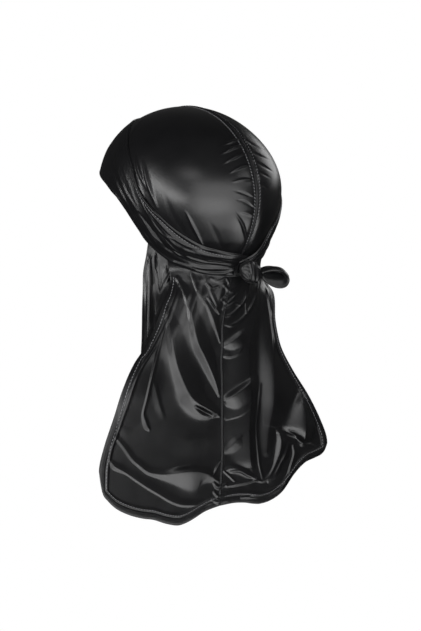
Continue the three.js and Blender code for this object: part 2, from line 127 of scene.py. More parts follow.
# Where the tail's seam rib starts and ends as shares of the way down, its rows and its stitches
TAIL_SEAM_TOP = 0.10
TAIL_SEAM_END = 0.995
TAIL_SEAM_ROWS = 521
TAIL_SEAM_STITCHES = 112

# The top of the inside of the crown is the frame's origin
TILT_SIN = np.sin(FORM_TILT)
TILT_COS = np.cos(FORM_TILT)
TOP_HEIGHT = np.hypot(FORM_LENGTH / 2 * TILT_SIN, FORM_HEIGHT / 2 * TILT_COS)
TOP_BACK = ((FORM_HEIGHT / 2) ** 2 - (FORM_LENGTH / 2) ** 2) * TILT_SIN * TILT_COS / TOP_HEIGHT
FORM_MIDDLE = np.array([0.0, -TOP_BACK, CLOTH - TOP_HEIGHT])


def smooth(start, end, value):
    """Rises from 0 at start to 1 at end, level at both."""
    s = np.clip((value - start) / (end - start), 0.0, 1.0)
    return s * s * (3 - 2 * s)


def lerp(a, b, t):
    return a + (b - a) * t


def bell(x, width):
    """exp(-(x / width) ** 2): 1 at x = 0, falling to nearly nothing at two widths."""
    return np.exp(-((x / width) ** 2))


def along(table, t):
    """Cubic Hermite interpolation of a table whose first column rises, one array for each other column."""
    rows = np.asarray(table, float)
    knots = rows[:, 0]
    t = np.clip(np.asarray(t, float), knots[0], knots[-1])
    i = np.clip(np.searchsorted(knots, t, side="right") - 1, 0, len(knots) - 2)
    slope = np.gradient(rows[:, 1:], knots, axis=0)
    slope[1:-1] = (rows[2:, 1:] - rows[:-2, 1:]) / (knots[2:] - knots[:-2])[:, None]
    span = (knots[i + 1] - knots[i])[..., None]
    s = ((t - knots[i]) / (knots[i + 1] - knots[i]))[..., None]
    p, q = rows[i, 1:], rows[i + 1, 1:]
    value = (
        (2 * s**3 - 3 * s**2 + 1) * p
        + (s**3 - 2 * s**2 + s) * span * slope[i]
        + (3 * s**2 - 2 * s**3) * q
        + (s**3 - s**2) * span * slope[i + 1]
    )
    return np.moveaxis(value, -1, 0)


def unit(v):
    return v / np.maximum(np.linalg.norm(v, axis=-1, keepdims=True), 1e-12)


def direction(angle, elevation):
    """Unit vectors at degrees round and degrees above level."""
    a, e = np.broadcast_arrays(np.radians(angle), np.radians(elevation))
    return np.stack([np.sin(a) * np.cos(e), np.cos(a) * np.cos(e), np.sin(e)], -1)


# The photo's view: degrees round and up of the camera, its distance and how far its aim lies from the middle
VIEW_ROUND = 39.5
VIEW_ELEVATION = 4.3
VIEW_DISTANCE = 1500.0
AIM_RIGHT = 19.0
AIM_UP = -120.0
FOCAL_PIXELS = 1560.0
PHOTO_WIDTH = 421
PHOTO_HEIGHT = 631
SENSOR = 36.0

TOWARD_EYE = direction(VIEW_ROUND, VIEW_ELEVATION)
VIEW_RIGHT = direction(VIEW_ROUND - 90, 0)
VIEW_UP = np.cross(TOWARD_EYE, VIEW_RIGHT)
EYE = TOWARD_EYE * VIEW_DISTANCE + VIEW_RIGHT * AIM_RIGHT + VIEW_UP * AIM_UP

# Flatter places of the form: round, up, spread in degrees, depth in mm
FORM_FLATS = [
    (-54, 40, 30, 1.6),
    (-42, -20, 20, 4.2),
]


def form_radius(d):
    """Tilted ellipsoid less its flat places, blended by a high power into an oval column below."""
    y = d[..., 1] * TILT_COS - d[..., 2] * TILT_SIN
    z = d[..., 1] * TILT_SIN + d[..., 2] * TILT_COS
    squares = (d[..., 0] / FORM_WIDTH) ** 2 + (y / FORM_LENGTH) ** 2 + (z / FORM_HEIGHT) ** 2
    ellipsoid = 0.5 / np.sqrt(squares)
    for angle, up, spread, depth in FORM_FLATS:
        apart = np.degrees(np.arccos(np.clip(d @ direction(angle, up), -1, 1)))
        ellipsoid = ellipsoid - depth * bell(apart, spread)
    level = np.maximum(np.hypot(d[..., 0], d[..., 1]), 1e-6)
    oval = 1 / np.hypot(d[..., 0] / level / (COLUMN_WIDTH / 2), d[..., 1] / level / (COLUMN_DEPTH / 2))
    column = oval / level * smooth(0.1, -0.6, d[..., 2] / level)
    return (ellipsoid**COLUMN_BLEND + column**COLUMN_BLEND) ** (1 / COLUMN_BLEND)


def on_form(d):
    return d * form_radius(d)[..., None]


def form_normal(d):
    """Cross product of two small steps over the form, turned outward."""
    side = unit(np.stack([d[..., 1], -d[..., 0], np.zeros_like(d[..., 0])], -1) + [1e-9, 0, 0])
    over = unit(np.cross(side, d))
    step = 0.01
    across = on_form(unit(d + side * step)) - on_form(unit(d - side * step))
    up = on_form(unit(d + over * step)) - on_form(unit(d - over * step))
    n = unit(np.cross(across, up))
    return np.where((n * d).sum(-1, keepdims=True) < 0, -n, n)


def grid_normals(grid, facing):
    """Normals of a grid of points from its own slopes, turned to the side of the given direction."""
    n = unit(np.cross(np.gradient(grid, axis=0), np.gradient(grid, axis=1)))
    return np.where((n * facing).sum(-1, keepdims=True) < 0, -n, n)


def seen(points):
    """Picture coordinates of points, in pixels of the photo."""
    d = points - EYE
    depth = -(d @ TOWARD_EYE)
    x = PHOTO_WIDTH / 2 + FOCAL_PIXELS * (d @ VIEW_RIGHT) / depth
    y = PHOTO_HEIGHT / 2 - FOCAL_PIXELS * (d @ VIEW_UP) / depth
    return np.stack([x, y], -1)


def ramp(x):
    """Rises from nearly 0 at x = 0 to nearly 1 at x = 1 in a straight line, rounded at both ends."""
    curve = 0.2
    return (np.hypot(x, curve) - np.hypot(x - 1, curve) + 1) / 2


def short_creases(table):
    """Creases of three rows each. A row of the table holds the start, middle and end in the picture, both
    widths and the height in the middle, and the share of the height at the start and at the end, where the
    widths change half as much."""
    creases = []
    for x0, y0, x1, y1, x2, y2, right, left, height, at_start, at_end in table:
        start = (1 + at_start) / 2
        end = (1 + at_end) / 2
        creases.append(
            [
                (x0, y0, right * start, left * start, height * at_start),
                (x1, y1, right, left, height),
                (x2, y2, right * end, left * end, height * at_end),
            ]
        )
    return creases


# Steps of a crest's curve from row to row, narrowest flank in pixels, reach of a ridge in widths
CREST_STEPS = 8
NARROWEST_FLANK = 0.6
RIDGE_REACH = 1.6


def crease_field(pixels, creases):
    """Sum of ridges in mm. Each is a smooth curve through rows of places in the picture, with a width in
    pixels on the right hand and on the left hand of one who goes along it, and a height. Both flanks are
    straight ramps with rounded ends."""
    total = np.zeros(pixels.shape[:-1])
    for rows in creases:
        rows = np.asarray(rows, float)
        station = np.arange(len(rows))
        table = np.concatenate([station[:, None], rows], 1)
        last = len(rows) - 1
        x, y, right, left, height = along(table, np.linspace(0, last, CREST_STEPS * last + 1))
        line = np.stack([x, y], -1)
        right = np.maximum(right, NARROWEST_FLANK)
        left = np.maximum(left, NARROWEST_FLANK)
        reach = RIDGE_REACH * max(right.max(), left.max())
        near = ((pixels > line.min(0) - reach) & (pixels < line.max(0) + reach)).all(-1)
        if not near.any():
            continue
        p = pixels[near][:, None, :]
        a, ab = line[:-1], line[1:] - line[:-1]
        s = np.clip(((p - a) * ab).sum(-1) / (ab**2).sum(-1), 0, 1)
        offset = p - (a + s[..., None] * ab)
        distance = np.linalg.norm(offset, axis=-1)
        k = distance.argmin(1)
        index = np.arange(len(k))
        near_by, part, offset, heading = distance[index, k], s[index, k], offset[index, k], ab[k]
        aside = heading[:, 0] * offset[:, 1] - heading[:, 1] * offset[:, 0]
        side = smooth(-1, 1, aside / np.linalg.norm(heading, axis=-1) / np.maximum(near_by, 1e-6))
        width = lerp(lerp(left[k], left[k + 1], part), lerp(right[k], right[k + 1], part), side)
        total[near] += lerp(height[k], height[k + 1], part) * (1 - ramp(near_by / width))
    return total


def creases_seen(points, normals, table):
    """Height of a table's short creases, fading where the cloth turns away from the eye."""
    facing = smooth(0.05, 0.2, normals @ TOWARD_EYE)
    return crease_field(seen(points), short_creases(table)) * facing


# Meshes


def mesh_object(name, points, faces, uv=None):
    """One object from points in mm round the form's middle and quads or triangles, shaded smooth."""
    mesh = bpy.data.meshes.new(name)
    points = (np.asarray(points).reshape(-1, 3) + FORM_MIDDLE) * MM
    faces = np.asarray(faces)
    sides = faces.shape[1]
    mesh.vertices.add(len(points))
    mesh.vertices.foreach_set("co", points.ravel())
    mesh.loops.add(faces.size)
    mesh.loops.foreach_set("vertex_index", faces.ravel().astype(np.int32))
    mesh.polygons.add(len(faces))
    mesh.polygons.foreach_set("loop_start", np.arange(0, faces.size, sides, dtype=np.int32))
    mesh.polygons.foreach_set("use_smooth", np.ones(len(faces), bool))
    mesh.update(calc_edges=True)
    if uv is not None:
        layer = mesh.uv_layers.new(name="cloth")
        layer.data.foreach_set("uv", np.asarray(uv).reshape(-1, 2)[faces.ravel()].ravel())
    mesh.validate()
    mesh.set_sharp_from_angle(angle=SHARP_TURN)
    made = bpy.data.objects.new(name, mesh)
    bpy.context.scene.collection.objects.link(made)
    return made


def outward(points, faces):
    """The faces, turned round if the volume that they enclose comes out negative."""
    p = np.asarray(points).reshape(-1, 3)
    a, b, c = p[faces[:, 0]], p[faces[:, 1]], p[faces[:, 2]]
    volume = (a * np.cross(b, c)).sum()
    if faces.shape[1] == 4:
        d = p[faces[:, 3]]
        volume += (a * np.cross(c, d)).sum()
    return faces[:, ::-1] if volume < 0 else faces


def grid_faces(rows, columns, first=0, closed=False):
    i = np.arange(rows - 1)[:, None]
    j = np.arange(columns if closed else columns - 1)[None, :]
    k = (j + 1) % columns
    corners = [i * columns + j, (i + 1) * columns + j, (i + 1) * columns + k, i * columns + k]
    return np.stack(np.broadcast_arrays(*corners), -1).reshape(-1, 4) + first


def halves(quads):
    """Two sets of triangles, one from each half of the quads."""
    return quads[:, [0, 1, 2]], quads[:, [0, 2, 3]]


def rim(fine, coarse):
    """Triangles between an edge of the outer grid and the same edge of an inner grid with half its steps."""
    near, middle, far = fine[:-2:2], fine[1::2], fine[2::2]
    first, second = coarse[:-1], coarse[1:]
    corners = [(near, first, middle), (first, second, middle), (second, far, middle)]
    return np.concatenate([np.stack(three, -1) for three in corners])


def shell(name, outer, inner):
    """Closed cloth between two grids of points, of which the inner one keeps every second point."""
    rows, columns = outer.shape[:2]
    inner = inner[::2, ::2]
    count = rows * columns
    inner_rows, inner_columns = inner.shape[:2]
    front = grid_faces(rows, columns)
    back = grid_faces(inner_rows, inner_columns, count)[:, ::-1]
    place = np.arange(count).reshape(rows, columns)
    behind = np.arange(inner_rows * inner_columns).reshape(inner_rows, inner_columns) + count
    rims = [
        rim(place[:, 0], behind[:, 0]),
        rim(place[::-1, -1], behind[::-1, -1]),
        rim(place[0, ::-1], behind[0, ::-1]),
        rim(place[-1], behind[-1]),
    ]
    points = np.concatenate([outer.reshape(-1, 3), inner.reshape(-1, 3)])
    down = np.linalg.norm(np.diff(outer, axis=0, prepend=outer[:1]), axis=-1).cumsum(0)
    across = np.linalg.norm(np.diff(outer, axis=1, prepend=outer[:, :1]), axis=-1).cumsum(1)
    uv = np.stack([across, down], -1) * MM
    faces = outward(points, np.concatenate([*halves(front), *halves(back), *rims]))
    return mesh_object(name, points, faces, np.concatenate([uv.reshape(-1, 2), uv[::2, ::2].reshape(-1, 2)]))


def swept(name, sections):
    """Closed solid through sections of equal length, each end gathered in one middle point."""
    rows, columns = sections.shape[:2]
    side = grid_faces(rows, columns, closed=True)
    ends = np.stack([sections[0].mean(0), sections[-1].mean(0)])
    j = np.arange(columns)
    k = (j + 1) % columns
    count = rows * columns
    last = (rows - 1) * columns
    caps = np.concatenate(
        [
            np.stack([np.full(columns, count), k, j], -1),
            np.stack([np.full(columns, count + 1), last + j, last + k], -1),
        ]
    )
    points = np.concatenate([sections.reshape(-1, 3), ends])
    around = np.broadcast_to(j * FACET_WIDTH, (rows, columns))
    down = np.linalg.norm(np.diff(sections, axis=0, prepend=sections[:1]), axis=-1).cumsum(0)
    uv = np.concatenate([np.stack([around, down], -1).reshape(-1, 2), [[0, 0], [0, 0]]]) * MM
    quads = outward(points, side)
    if not np.array_equal(quads, side):
        caps = caps[:, ::-1]
    return mesh_object(name, points, np.concatenate([caps, *halves(quads)]), uv)


# Materials


class Value:
    """A socket whose arithmetic adds Math nodes."""

    def __init__(self, nodes, socket):
        self.nodes = nodes
        self.socket = socket

    def math(self, operation, *values):
        return self.nodes.add("ShaderNodeMath", {"operation": operation}, dict(enumerate(values)))

    def __add__(self, other):
        return self.math("ADD", self, other)

    __radd__ = __add__

    def __sub__(self, other):
        return self.math("SUBTRACT", self, other)

    def __rsub__(self, other):
        return self.math("SUBTRACT", other, self)

    def __mul__(self, other):
        return self.math("MULTIPLY", self, other)

    __rmul__ = __mul__

    def sine(self):
        return self.math("SINE", self)


class Nodes:
    """A material's nodes: add() takes a type, its settings and the values or links of its sockets."""

    def __init__(self, name):
        self.material = bpy.data.materials.new(name)
        self.material.use_nodes = True
        self.tree = self.material.node_tree
        self.shader = self.tree.nodes["Principled BSDF"]

    def add(self, kind, settings, values, output=0):
        node = self.tree.nodes.new(kind)
        for key, value in settings.items():
            setattr(node, key, value)
        for key, value in values.items():
            self.connect(node.inputs[key], value)
        return Value(self, node.outputs[output])

    def connect(self, socket, value):
        if isinstance(value, Value):
            self.tree.links.new(value.socket, socket)
        else:
            socket.default_value = value

    def finish(self, **values):
        for key, value in values.items():
            self.connect(self.shader.inputs[key.replace("_", " ")], value)
        return self.material


# Satin, per metre of cloth: scale of its clouds and of its grain, radians of its weave lines across and down
CLOUD_SCALE = 55.0
GRAIN_SCALE = 900.0
WEAVE_ACROSS = 7200.0
WEAVE_DOWN = 2400.0


def satin_material(name, dark, light, roughness, gloss):
    """Black satin: fine slanting weave lines, soft cloudy changes of depth and gloss."""
    nodes = Nodes(name)
    place = nodes.add("ShaderNodeTexCoord", {}, {}, "UV")
    apart = nodes.add("ShaderNodeSeparateXYZ", {}, {0: place}, "X")
    down = Value(nodes, apart.socket.node.outputs["Y"])
    cloud = nodes.add("ShaderNodeTexNoise", {}, {"Vector": place, "Scale": CLOUD_SCALE, "Detail": 3.0}, "Fac")
    grain = nodes.add("ShaderNodeTexNoise", {}, {"Vector": place, "Scale": GRAIN_SCALE, "Detail": 2.0}, "Fac")
    lines = (apart * WEAVE_ACROSS + down * WEAVE_DOWN).sine() * 0.5 + 0.5
    tones = {"Factor": cloud, "A": (*dark, 1), "B": (*light, 1)}
    mixed = nodes.add("ShaderNodeMix", {"data_type": "RGBA"}, tones, "Result")
    shade = Value(nodes, next(o for o in mixed.socket.node.outputs if o.type == "RGBA"))
    bump = nodes.add(
        "ShaderNodeBump",
        {},
        {"Strength": 0.16, "Distance": 0.0002, "Height": lines * 0.35 + grain * 0.65},
    )
    return nodes.finish(
        Base_Color=shade,
        Roughness=cloud * 0.08 + grain * 0.05 + (roughness - 0.065),
        Normal=bump,
        Specular_IOR_Level=gloss,
        Sheen_Weight=0.06,
        Sheen_Roughness=0.4,
    )


def thread_material(name, tone, gloss):
    """Sewing thread in one tone: duller than the cloth, with the twist of its strands. The real thread is
    black, and a lighter tone is painted sheen.
    """
    nodes = Nodes(name)
    place = nodes.add("ShaderNodeTexCoord", {}, {}, "Object")
    fuzz = nodes.add("ShaderNodeTexNoise", {}, {"Vector": place, "Scale": 1500.0, "Detail": 2.0}, "Fac")
    bump = nodes.add("ShaderNodeBump", {}, {"Strength": 0.3, "Distance": 0.0002, "Height": fuzz})
    return nodes.finish(
        Base_Color=(*tone, 1),
        Roughness=fuzz * 0.2 + 0.42,
        Normal=bump,
        Specular_IOR_Level=gloss,
    )


def stage_material(name, tone):
    """Paper that glows evenly in one tone of grey."""
    return Nodes(name).finish(
        Base_Color=(0, 0, 0, 1),
        Emission_Color=(tone, tone, tone, 1),
        Emission_Strength=1.0,
        Specular_IOR_Level=0.0,
    )


DEEP_BLACK = (0.0070, 0.0070, 0.0078)
SATIN = satin_material("black satin", DEEP_BLACK, (0.0115, 0.0115, 0.0125), 0.30, 0.62)
SATIN_STRAP = satin_material("black satin strap", DEEP_BLACK, (0.0120, 0.0120, 0.0130), 0.31, 0.46)
# The stitches' black thread gets a light grey tone: painted sheen, so that they show as bright dots
THREAD_WITH_PAINTED_SHEEN = thread_material("stitching thread with painted sheen", (0.220, 0.220, 0.230), 0.5)
SEAM_THREAD = thread_material("overlocked seam", (0.010, 0.010, 0.011), 0.3)


def dress(piece, material, slot, *nodes):
    """Gives a new piece its material and its body, and hides the parts of the model that it stands for."""
    piece.data.materials.append(material)
    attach(piece, "root")
    if nodes:
        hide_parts(*nodes)
    return piece


# Crown

AXIS_BACK = direction(0.0, -CROWN_TILT)
AXIS_UP = direction(0.0, 90 - CROWN_TILT)
AXIS_SIDE = np.array([1.0, 0.0, 0.0])

# Ridges of the crown that the photo shows, in its pixels: start, middle and end, width on the right hand and
# on the left hand, then height in mm and its shares at the start and at the end
CROWN_CREASES = [
    (221, 146, 232, 142, 243, 138, 1.6, 2, 1.1, 0.1, 0.4),
    (220, 155, 232, 149, 245, 145, 1.6, 2.2, 1.6, 0.1, 0.4),
    (223, 164, 234, 158, 247, 153, 1.6, 2.2, 1.5, 0.1, 0.4),
    (230, 173, 239, 168, 249, 165, 1.6, 2.2, 1.2, 0.1, 0.4),
    (233, 182, 243, 180, 252, 180, 1.8, 2.4, 0.9, 0.1, 0.4),
    (234, 191, 243, 193, 254, 198, 2.2, 2, -1.2, 0.1, 0.4),
    (236, 200, 245, 202, 254, 208, 2.2, 2, -1.1, 0.1, 0.4),
    (238, 212, 247, 213, 255, 217, 2.4, 2.4, 0.8, 0.1, 0.4),
    (246, 140, 254, 145, 263, 149, 1.8, 1.6, -1, 0.4, 0.1),
    (250, 151, 259, 155, 270, 160, 1.8, 1.6, -1.2, 0.4, 0.1),
    (252, 161, 262, 165, 273, 172, 1.8, 1.6, -1.2, 0.4, 0.1),
    (254, 171, 262, 173, 270, 178, 1.8, 1.6, -0.9, 0.4, 0.1),
    (255, 183, 262, 184, 268, 189, 2.2, 2, -0.7, 0.4, 0.1),
    (130, 152, 134, 174, 144, 198, 1.6, 2.4, 1.1, 0.15, 0.3),
    (135, 154, 139, 172, 147, 190, 1.6, 2.4, 1.1, 0.15, 0.3),
    (143, 162, 148, 184, 157, 208, 2.2, 3.2, 1.4, 0.15, 0.3),
    (186, 212, 194, 228, 204, 248, 2, 2.2, 1.4, 0.15, 0.3),
    (235, 212, 243, 226, 247, 244, 2, 2.2, 1.1, 0.15, 0.3),
    (210, 222, 216, 234, 222, 248, 4, 4, -0.3, 0.15, 0.3),
    (165, 195, 172, 214, 186, 236, 4.5, 4.5, -0.35, 0.15, 0.3),
]

# The same on the sides that the photo doesn't show: start and end as degrees round and up, width, height
CROWN_FAR_CREASES = [
    (-94, 30, -72, -6, 3.0, 0.8),
    (-88, 34, -66, -2, 3.0, 0.7),
    (-76, 28, -55, -8, 3.5, 0.8),
    (-48, 2, -36, -18, 3.5, 0.8),
    (118, 58, 100, 36, 3.5, 0.5),
    (-118, 58, -100, 36, 3.5, 0.5),
]


def crown_direction(from_nape, from_seam):
    """Degrees from the nape end of the crown's tilted axis, then degrees round it from the seam."""
    a, g = np.radians(from_nape)[..., None], np.radians(from_seam)[..., None]
    return np.cos(a) * AXIS_BACK + np.sin(a) * (np.cos(g) * AXIS_UP + np.sin(g) * AXIS_SIDE)


def far_creases(points):
    """Ridges along arcs over the crown, a bell curve across and fading at both ends."""
    total = np.zeros(points.shape[:-1])
    for round0, up0, round1, up1, width, height in CROWN_FAR_CREASES:
        a = on_form(direction(float(round0), float(up0)))
        b = on_form(direction(float(round1), float(up1)))
        length = np.linalg.norm(b - a)
        s = (points - a) @ (b - a) / length**2
        nearest = on_form(unit(a + np.clip(s, 0, 1)[..., None] * (b - a)))
        distance = np.linalg.norm(points - nearest, axis=-1)
        total += height * smooth(0, 0.3, s) * smooth(1, 0.7, s) * bell(distance, width)
    return total


# How much closer the crown's columns stand near the seam
CROWN_CROWDING = 1.15

# Dip of the cloth along the crown's seam
SEAM_DIP = 0.9
SEAM_DIP_WIDTH = 3.6


def crown_half(side):
    """Outer and inner face of one half of the crown: the form with its creases, and a dip along the seam."""
    rows, columns = CROWN_GRID
    from_nape = np.linspace(RIM_INSET, 180 - RIM_INSET, rows)[:, None]
    from_seam = 90 * np.linspace(0, 1, columns)[None, :] ** CROWN_CROWDING
    from_nape, from_seam = np.broadcast_arrays(from_nape, from_seam)
    d = crown_direction(from_nape, from_seam) * [side, 1, 1]
    points, normals = on_form(d), form_normal(d)
    relief = creases_seen(points, normals, CROWN_CREASES) + far_creases(points)
    relief -= SEAM_DIP * bell(points[..., 0], SEAM_DIP_WIDTH)
    outer = points + normals * relief[..., None]
    outer[..., 0] += side * PANEL_GAP
    inner = outer - grid_normals(outer, d) * CLOTH
    return outer, inner


# Rows along the crown's seam rib, its stitches, and how deep its edges and its underside lie below the form
CROWN_SEAM_ROWS = 421
CROWN_SEAM_STITCHES = 95
CROWN_SEAM_EDGE = 0.35
CROWN_SEAM_UNDERSIDE = 0.75


def crown_seam():
    """A rounded rib, 1 - x**2 high across its width, that dips between its stitches."""
    from_nape = np.linspace(SEAM_END, 180 - SEAM_END, CROWN_SEAM_ROWS)
    d = crown_direction(from_nape, np.zeros_like(from_nape))
    points, normals = on_form(d)[:, None], form_normal(d)[:, None]
    across = np.linspace(-1, 1, SEAM_COLUMNS)
    wave = SEAM_WAVE * np.sin(np.linspace(0, 2 * np.pi * CROWN_SEAM_STITCHES, CROWN_SEAM_ROWS))
    top = (1 - across**2) * (SEAM_HEIGHT + wave[:, None]) - CROWN_SEAM_EDGE
    outer = points + normals * top[..., None]
    inner = points - normals * np.full_like(top, CROWN_SEAM_UNDERSIDE)[..., None]
    for face in (outer, inner):
        face[..., 0] = across * SEAM_WIDTH / 2
    return outer, inner


# Straps

# Degrees round, elevation of the upper edge and of the lower edge
STRAP_WRAP = [
    (-6, -42, -50),
    (8, -41.5, -50),
    (28, -41, -50),
    (40, -38.5, -48),
    (52, -32, -46),
    (62, -19, -41.5),
    (68, -10, -37.5),
    (75, 4, -31),
    (80, 14, -24.5),
    (87, 23, -14),
    (95, 31, -5.5),
    (101, 37, -1.8),
    (114, 45, 5),
    (137, 51, 10.5),
    (180, 53, 15),
    (223, 51, 10.5),
    (246, 45, 5),
    (259, 37, -1.8),
    (273, 23, -14),
    (286, 10, -26),
    (300, -2, -34),
    (315, -12, -39),
    (330, -21, -42),
    (340, -28, -43),
    (350, -37, -45),
    (358, -42, -48),
    (365, -44, -49.5),
]
FOLD_LEFT = [
    (-4, -37.5, -45),
    (6, -36, -45),
    (18, -34.5, -44),
    (31, -32, -43.5),
    (43, -27, -40.5),
    (51, -22, -36),
    (59, -15, -27),
    (66, -8.5, -17),
    (73, 0.5, -4),
    (79, 12, 7),
]
FOLD_RIGHT = [
    (282, 13, 8),
    (292, 7, -2),
    (300, 4, -7),
    (315, -3, -17),
    (330, -11.5, -26),
    (340, -18.5, -33),
    (345, -26, -38),
    (351, -32, -42),
    (356, -36, -44),
    (364, -40, -46.5),
]

# Ridges of the straps that the photo shows, with the columns of the crown's ridges
STRAP_CREASES = [
    (124, 187, 138, 210, 149, 236, 4, 6, 1.1, 0.3, 0.4),
    (130, 195, 143, 217, 157, 241, 1.8, 2, 0.65, 0.4, 0.4),
    (150, 212, 160, 229, 182, 248, 1.6, 1.8, 0.72, 0.4, 0.4),
    (146, 222, 158, 238, 180, 254, 1.6, 1.8, 0.72, 0.4, 0.4),
    (170, 236, 195, 246, 228, 250, 1.5, 1.8, 0.59, 0.4, 0.4),
    (186, 248, 212, 254, 243, 256, 3, 2.4, 0.9, 0.4, 0.4),
    (176, 261, 202, 267, 238, 266, 3.6, 3, 1.2, 0.4, 0.4),
    (196, 270, 222, 272, 258, 258, 2, 2, 0.85, 0.4, 0.4),
    (110, 170, 122, 192, 136, 214, 2, 2, 0.52, 0.3, 0.3),
    (107, 182, 118, 196, 130, 212, 2, 2, 0.52, 0.3, 0.3),
    (118, 150, 122, 172, 133, 196, 2, 2, 0.39, 0.3, 0.3),
    (276, 232, 268, 247, 257, 256, 1.6, 1.8, 0.59, 0.4, 0.4),
    (267, 246, 258, 257, 243, 264, 1.6, 1.8, 0.72, 0.4, 0.4),
    (140, 212, 168, 246, 206, 259, 2.2, 2.2, -1.2, 0.4, 0.4),
]

# Pleats along a strap: degrees from and to, share of the width at each end, width as a share, height in mm
WRAP_PLEATS = [
    (-6, 70, 0.30, 0.34, 0.10, 0.30),
    (-6, 82, 0.56, 0.62, 0.12, 0.42),
    (8, 60, 0.80, 0.88, 0.07, 0.30),
    (60, 112, 0.72, 0.45, 0.07, 0.6),
    (66, 104, 0.88, 0.70, 0.05, 0.45),
    (72, 130, 0.40, 0.22, 0.07, 0.38),
    (250, 365, 0.45, 0.40, 0.09, 0.6),
    (275, 365, 0.75, 0.70, 0.07, 0.52),
    (120, 240, 0.62, 0.62, 0.10, 0.26),
]
LEFT_PLEATS = [
    (-4, 74, 0.32, 0.42, 0.08, 0.45),
    (-4, 66, 0.52, 0.66, 0.10, 0.62),
    (12, 58, 0.72, 0.84, 0.06, 0.4),
    (10, 60, 0.84, 0.92, 0.05, 0.45),
]
RIGHT_PLEATS = [
    (290, 364, 0.30, 0.25, 0.07, 0.68),
    (300, 364, 0.55, 0.50, 0.06, 0.68),
    (320, 364, 0.80, 0.75, 0.06, 0.6),
]

# Height of a strap's inner face above the crown: at the sides, at the back and the front, what a folded
# layer adds, and where the right strap crosses over the left one
SIDE_LIFT = 0.5
STRAP_LIFT = 1.7
FOLD_LIFT = 1.25
CROSS_LIFT = STRAP_LIFT + 2 * FOLD_LIFT

# Distance from the middle at which degrees down a strap become its width
STRAP_RADIUS = 80.0

# Beads of a strap's turned edges and the groove of its stitches: distance from the edge, half width, size
STRAP_HEM_IN = 1.6
STRAP_HEM_WIDTH = 1.1
UPPER_HEM = 0.35
LOWER_HEM = 0.3
STRAP_STITCH_IN = 4.0
STRAP_STITCH_WIDTH = 0.5
STRAP_STITCH_DEPTH = 0.25

# Width over which a strap thins out at its edges, and half its thickness there
STRAP_EDGE = 1.2
STRAP_THIN = 0.15


def wrap_inner(angle, elevation):
    """Height of the long strap's inner face above the crown, as in the solids."""
    back = (smooth(97, 80, angle) + smooth(263, 280, angle)) * smooth(-26, -35.5, elevation)
    front = smooth(168, 174, angle) * smooth(192, 186, angle)
    cross = smooth(343, 353, angle)
    lifted = np.maximum(back, front)
    return SIDE_LIFT + (STRAP_LIFT - SIDE_LIFT) * lifted + (CROSS_LIFT - STRAP_LIFT) * cross


def fold_inner(angle, elevation):
    """The same for the folded layer, which steps down from the wrap onto the crown."""
    wrap_top = along(STRAP_WRAP, angle)[0]
    return wrap_inner(angle, elevation) + FOLD_LIFT * smooth(wrap_top + 8, wrap_top + 3, elevation)


def pleats(angle, share, table):
    """Sum of ridges that run along the strap, each a bell curve across it."""
    total = np.zeros(np.broadcast(angle, share).shape)
    for start, end, share0, share1, width, height in table:
        t = (angle - start) / (end - start)
        fade = smooth(-0.02, 0.12, t) * smooth(1.02, 0.75, t)
        total += height * fade * bell(share - lerp(share0, share1, t), width)
    return total


def strap_band(table, pleat_table, inner_height, grid):
    """Band between two edges, each given by elevation: pleated, with a bead along both edges and a groove
    for the stitches along the upper one."""
    rows, columns = grid
    angle = np.linspace(table[0][0], table[-1][0], rows)[:, None]
    share = np.linspace(0, 1, columns)[None, :]
    upper, lower = along(table, angle[:, 0])
    elevation = lerp(upper[:, None], lower[:, None], share)
    angle, share = np.broadcast_arrays(angle, share)
    d = direction(angle, elevation)
    points, normals = on_form(d), form_normal(d)
    width = np.radians(upper - lower)[:, None] * STRAP_RADIUS
    from_top, from_bottom = share * width, (1 - share) * width
    relief = pleats(angle, share, pleat_table) + creases_seen(points, normals, STRAP_CREASES)
    relief += UPPER_HEM * bell(from_top - STRAP_HEM_IN, STRAP_HEM_WIDTH)
    relief += LOWER_HEM * bell(from_bottom - STRAP_HEM_IN, STRAP_HEM_WIDTH)
    relief -= STRAP_STITCH_DEPTH * bell(from_top - STRAP_STITCH_IN, STRAP_STITCH_WIDTH)
    relief += 0.03 * np.sin(angle * 1.7) * np.sin(share * 9 + angle * 0.13)
    edge = smooth(0, STRAP_EDGE, from_top) * smooth(0, STRAP_EDGE, from_bottom)
    base = points + normals * inner_height(angle, elevation)[..., None]
    middle = base + normals * (relief * edge + CLOTH / 2)[..., None]
    n = grid_normals(middle, d)
    half = lerp(STRAP_THIN, CLOTH / 2, edge)[..., None]
    return middle + n * half, middle - n * half


# Knot and loop

KNOT_ANGLE = -2.0
KNOT_ELEVATION = -44.0
KNOT_WIDTH = 24.0
KNOT_HEIGHT = 25.0
KNOT_DEPTH = 17.0
KNOT_GAP = 0.4
LOOP_LENGTH = 27.0
LOOP_HEIGHT = 20.0
LOOP_WIDTH = 15.0
KNOT_OUT = direction(KNOT_ANGLE, 0.0)
KNOT_ACROSS = direction(KNOT_ANGLE + 90, 0.0)
UP = np.array([0.0, 0.0, 1.0])
LOOP_OUT = direction(KNOT_ANGLE - 75, -6.0)
LOOP_ACROSS = direction(KNOT_ANGLE + 3, -40.0)
KNOT_SEAT = direction(KNOT_ANGLE, KNOT_ELEVATION)
KNOT_LIFT = CROSS_LIFT + 2 * FOLD_LIFT + KNOT_GAP + KNOT_DEPTH / 2
KNOT_MIDDLE = on_form(KNOT_SEAT) + form_normal(KNOT_SEAT) * KNOT_LIFT

# Knot, in shares of its half sizes: radius, rise of the turn round its waist, depths of the creases, lean of
# the turn, how far the right and the left end close in; then the mm by which it rises to the left
KNOT_RADIUS = 0.68
KNOT_TURN = 0.13
KNOT_END_CREASES = (0.03, 0.015)
KNOT_TURN_CREASE = 0.02
KNOT_LEAN = 0.12
KNOT_ENDS = (0.8, 0.94)
KNOT_RISE = 2.0

# Power that flattens the knot's round section from front to back
KNOT_FLATNESS = 0.5

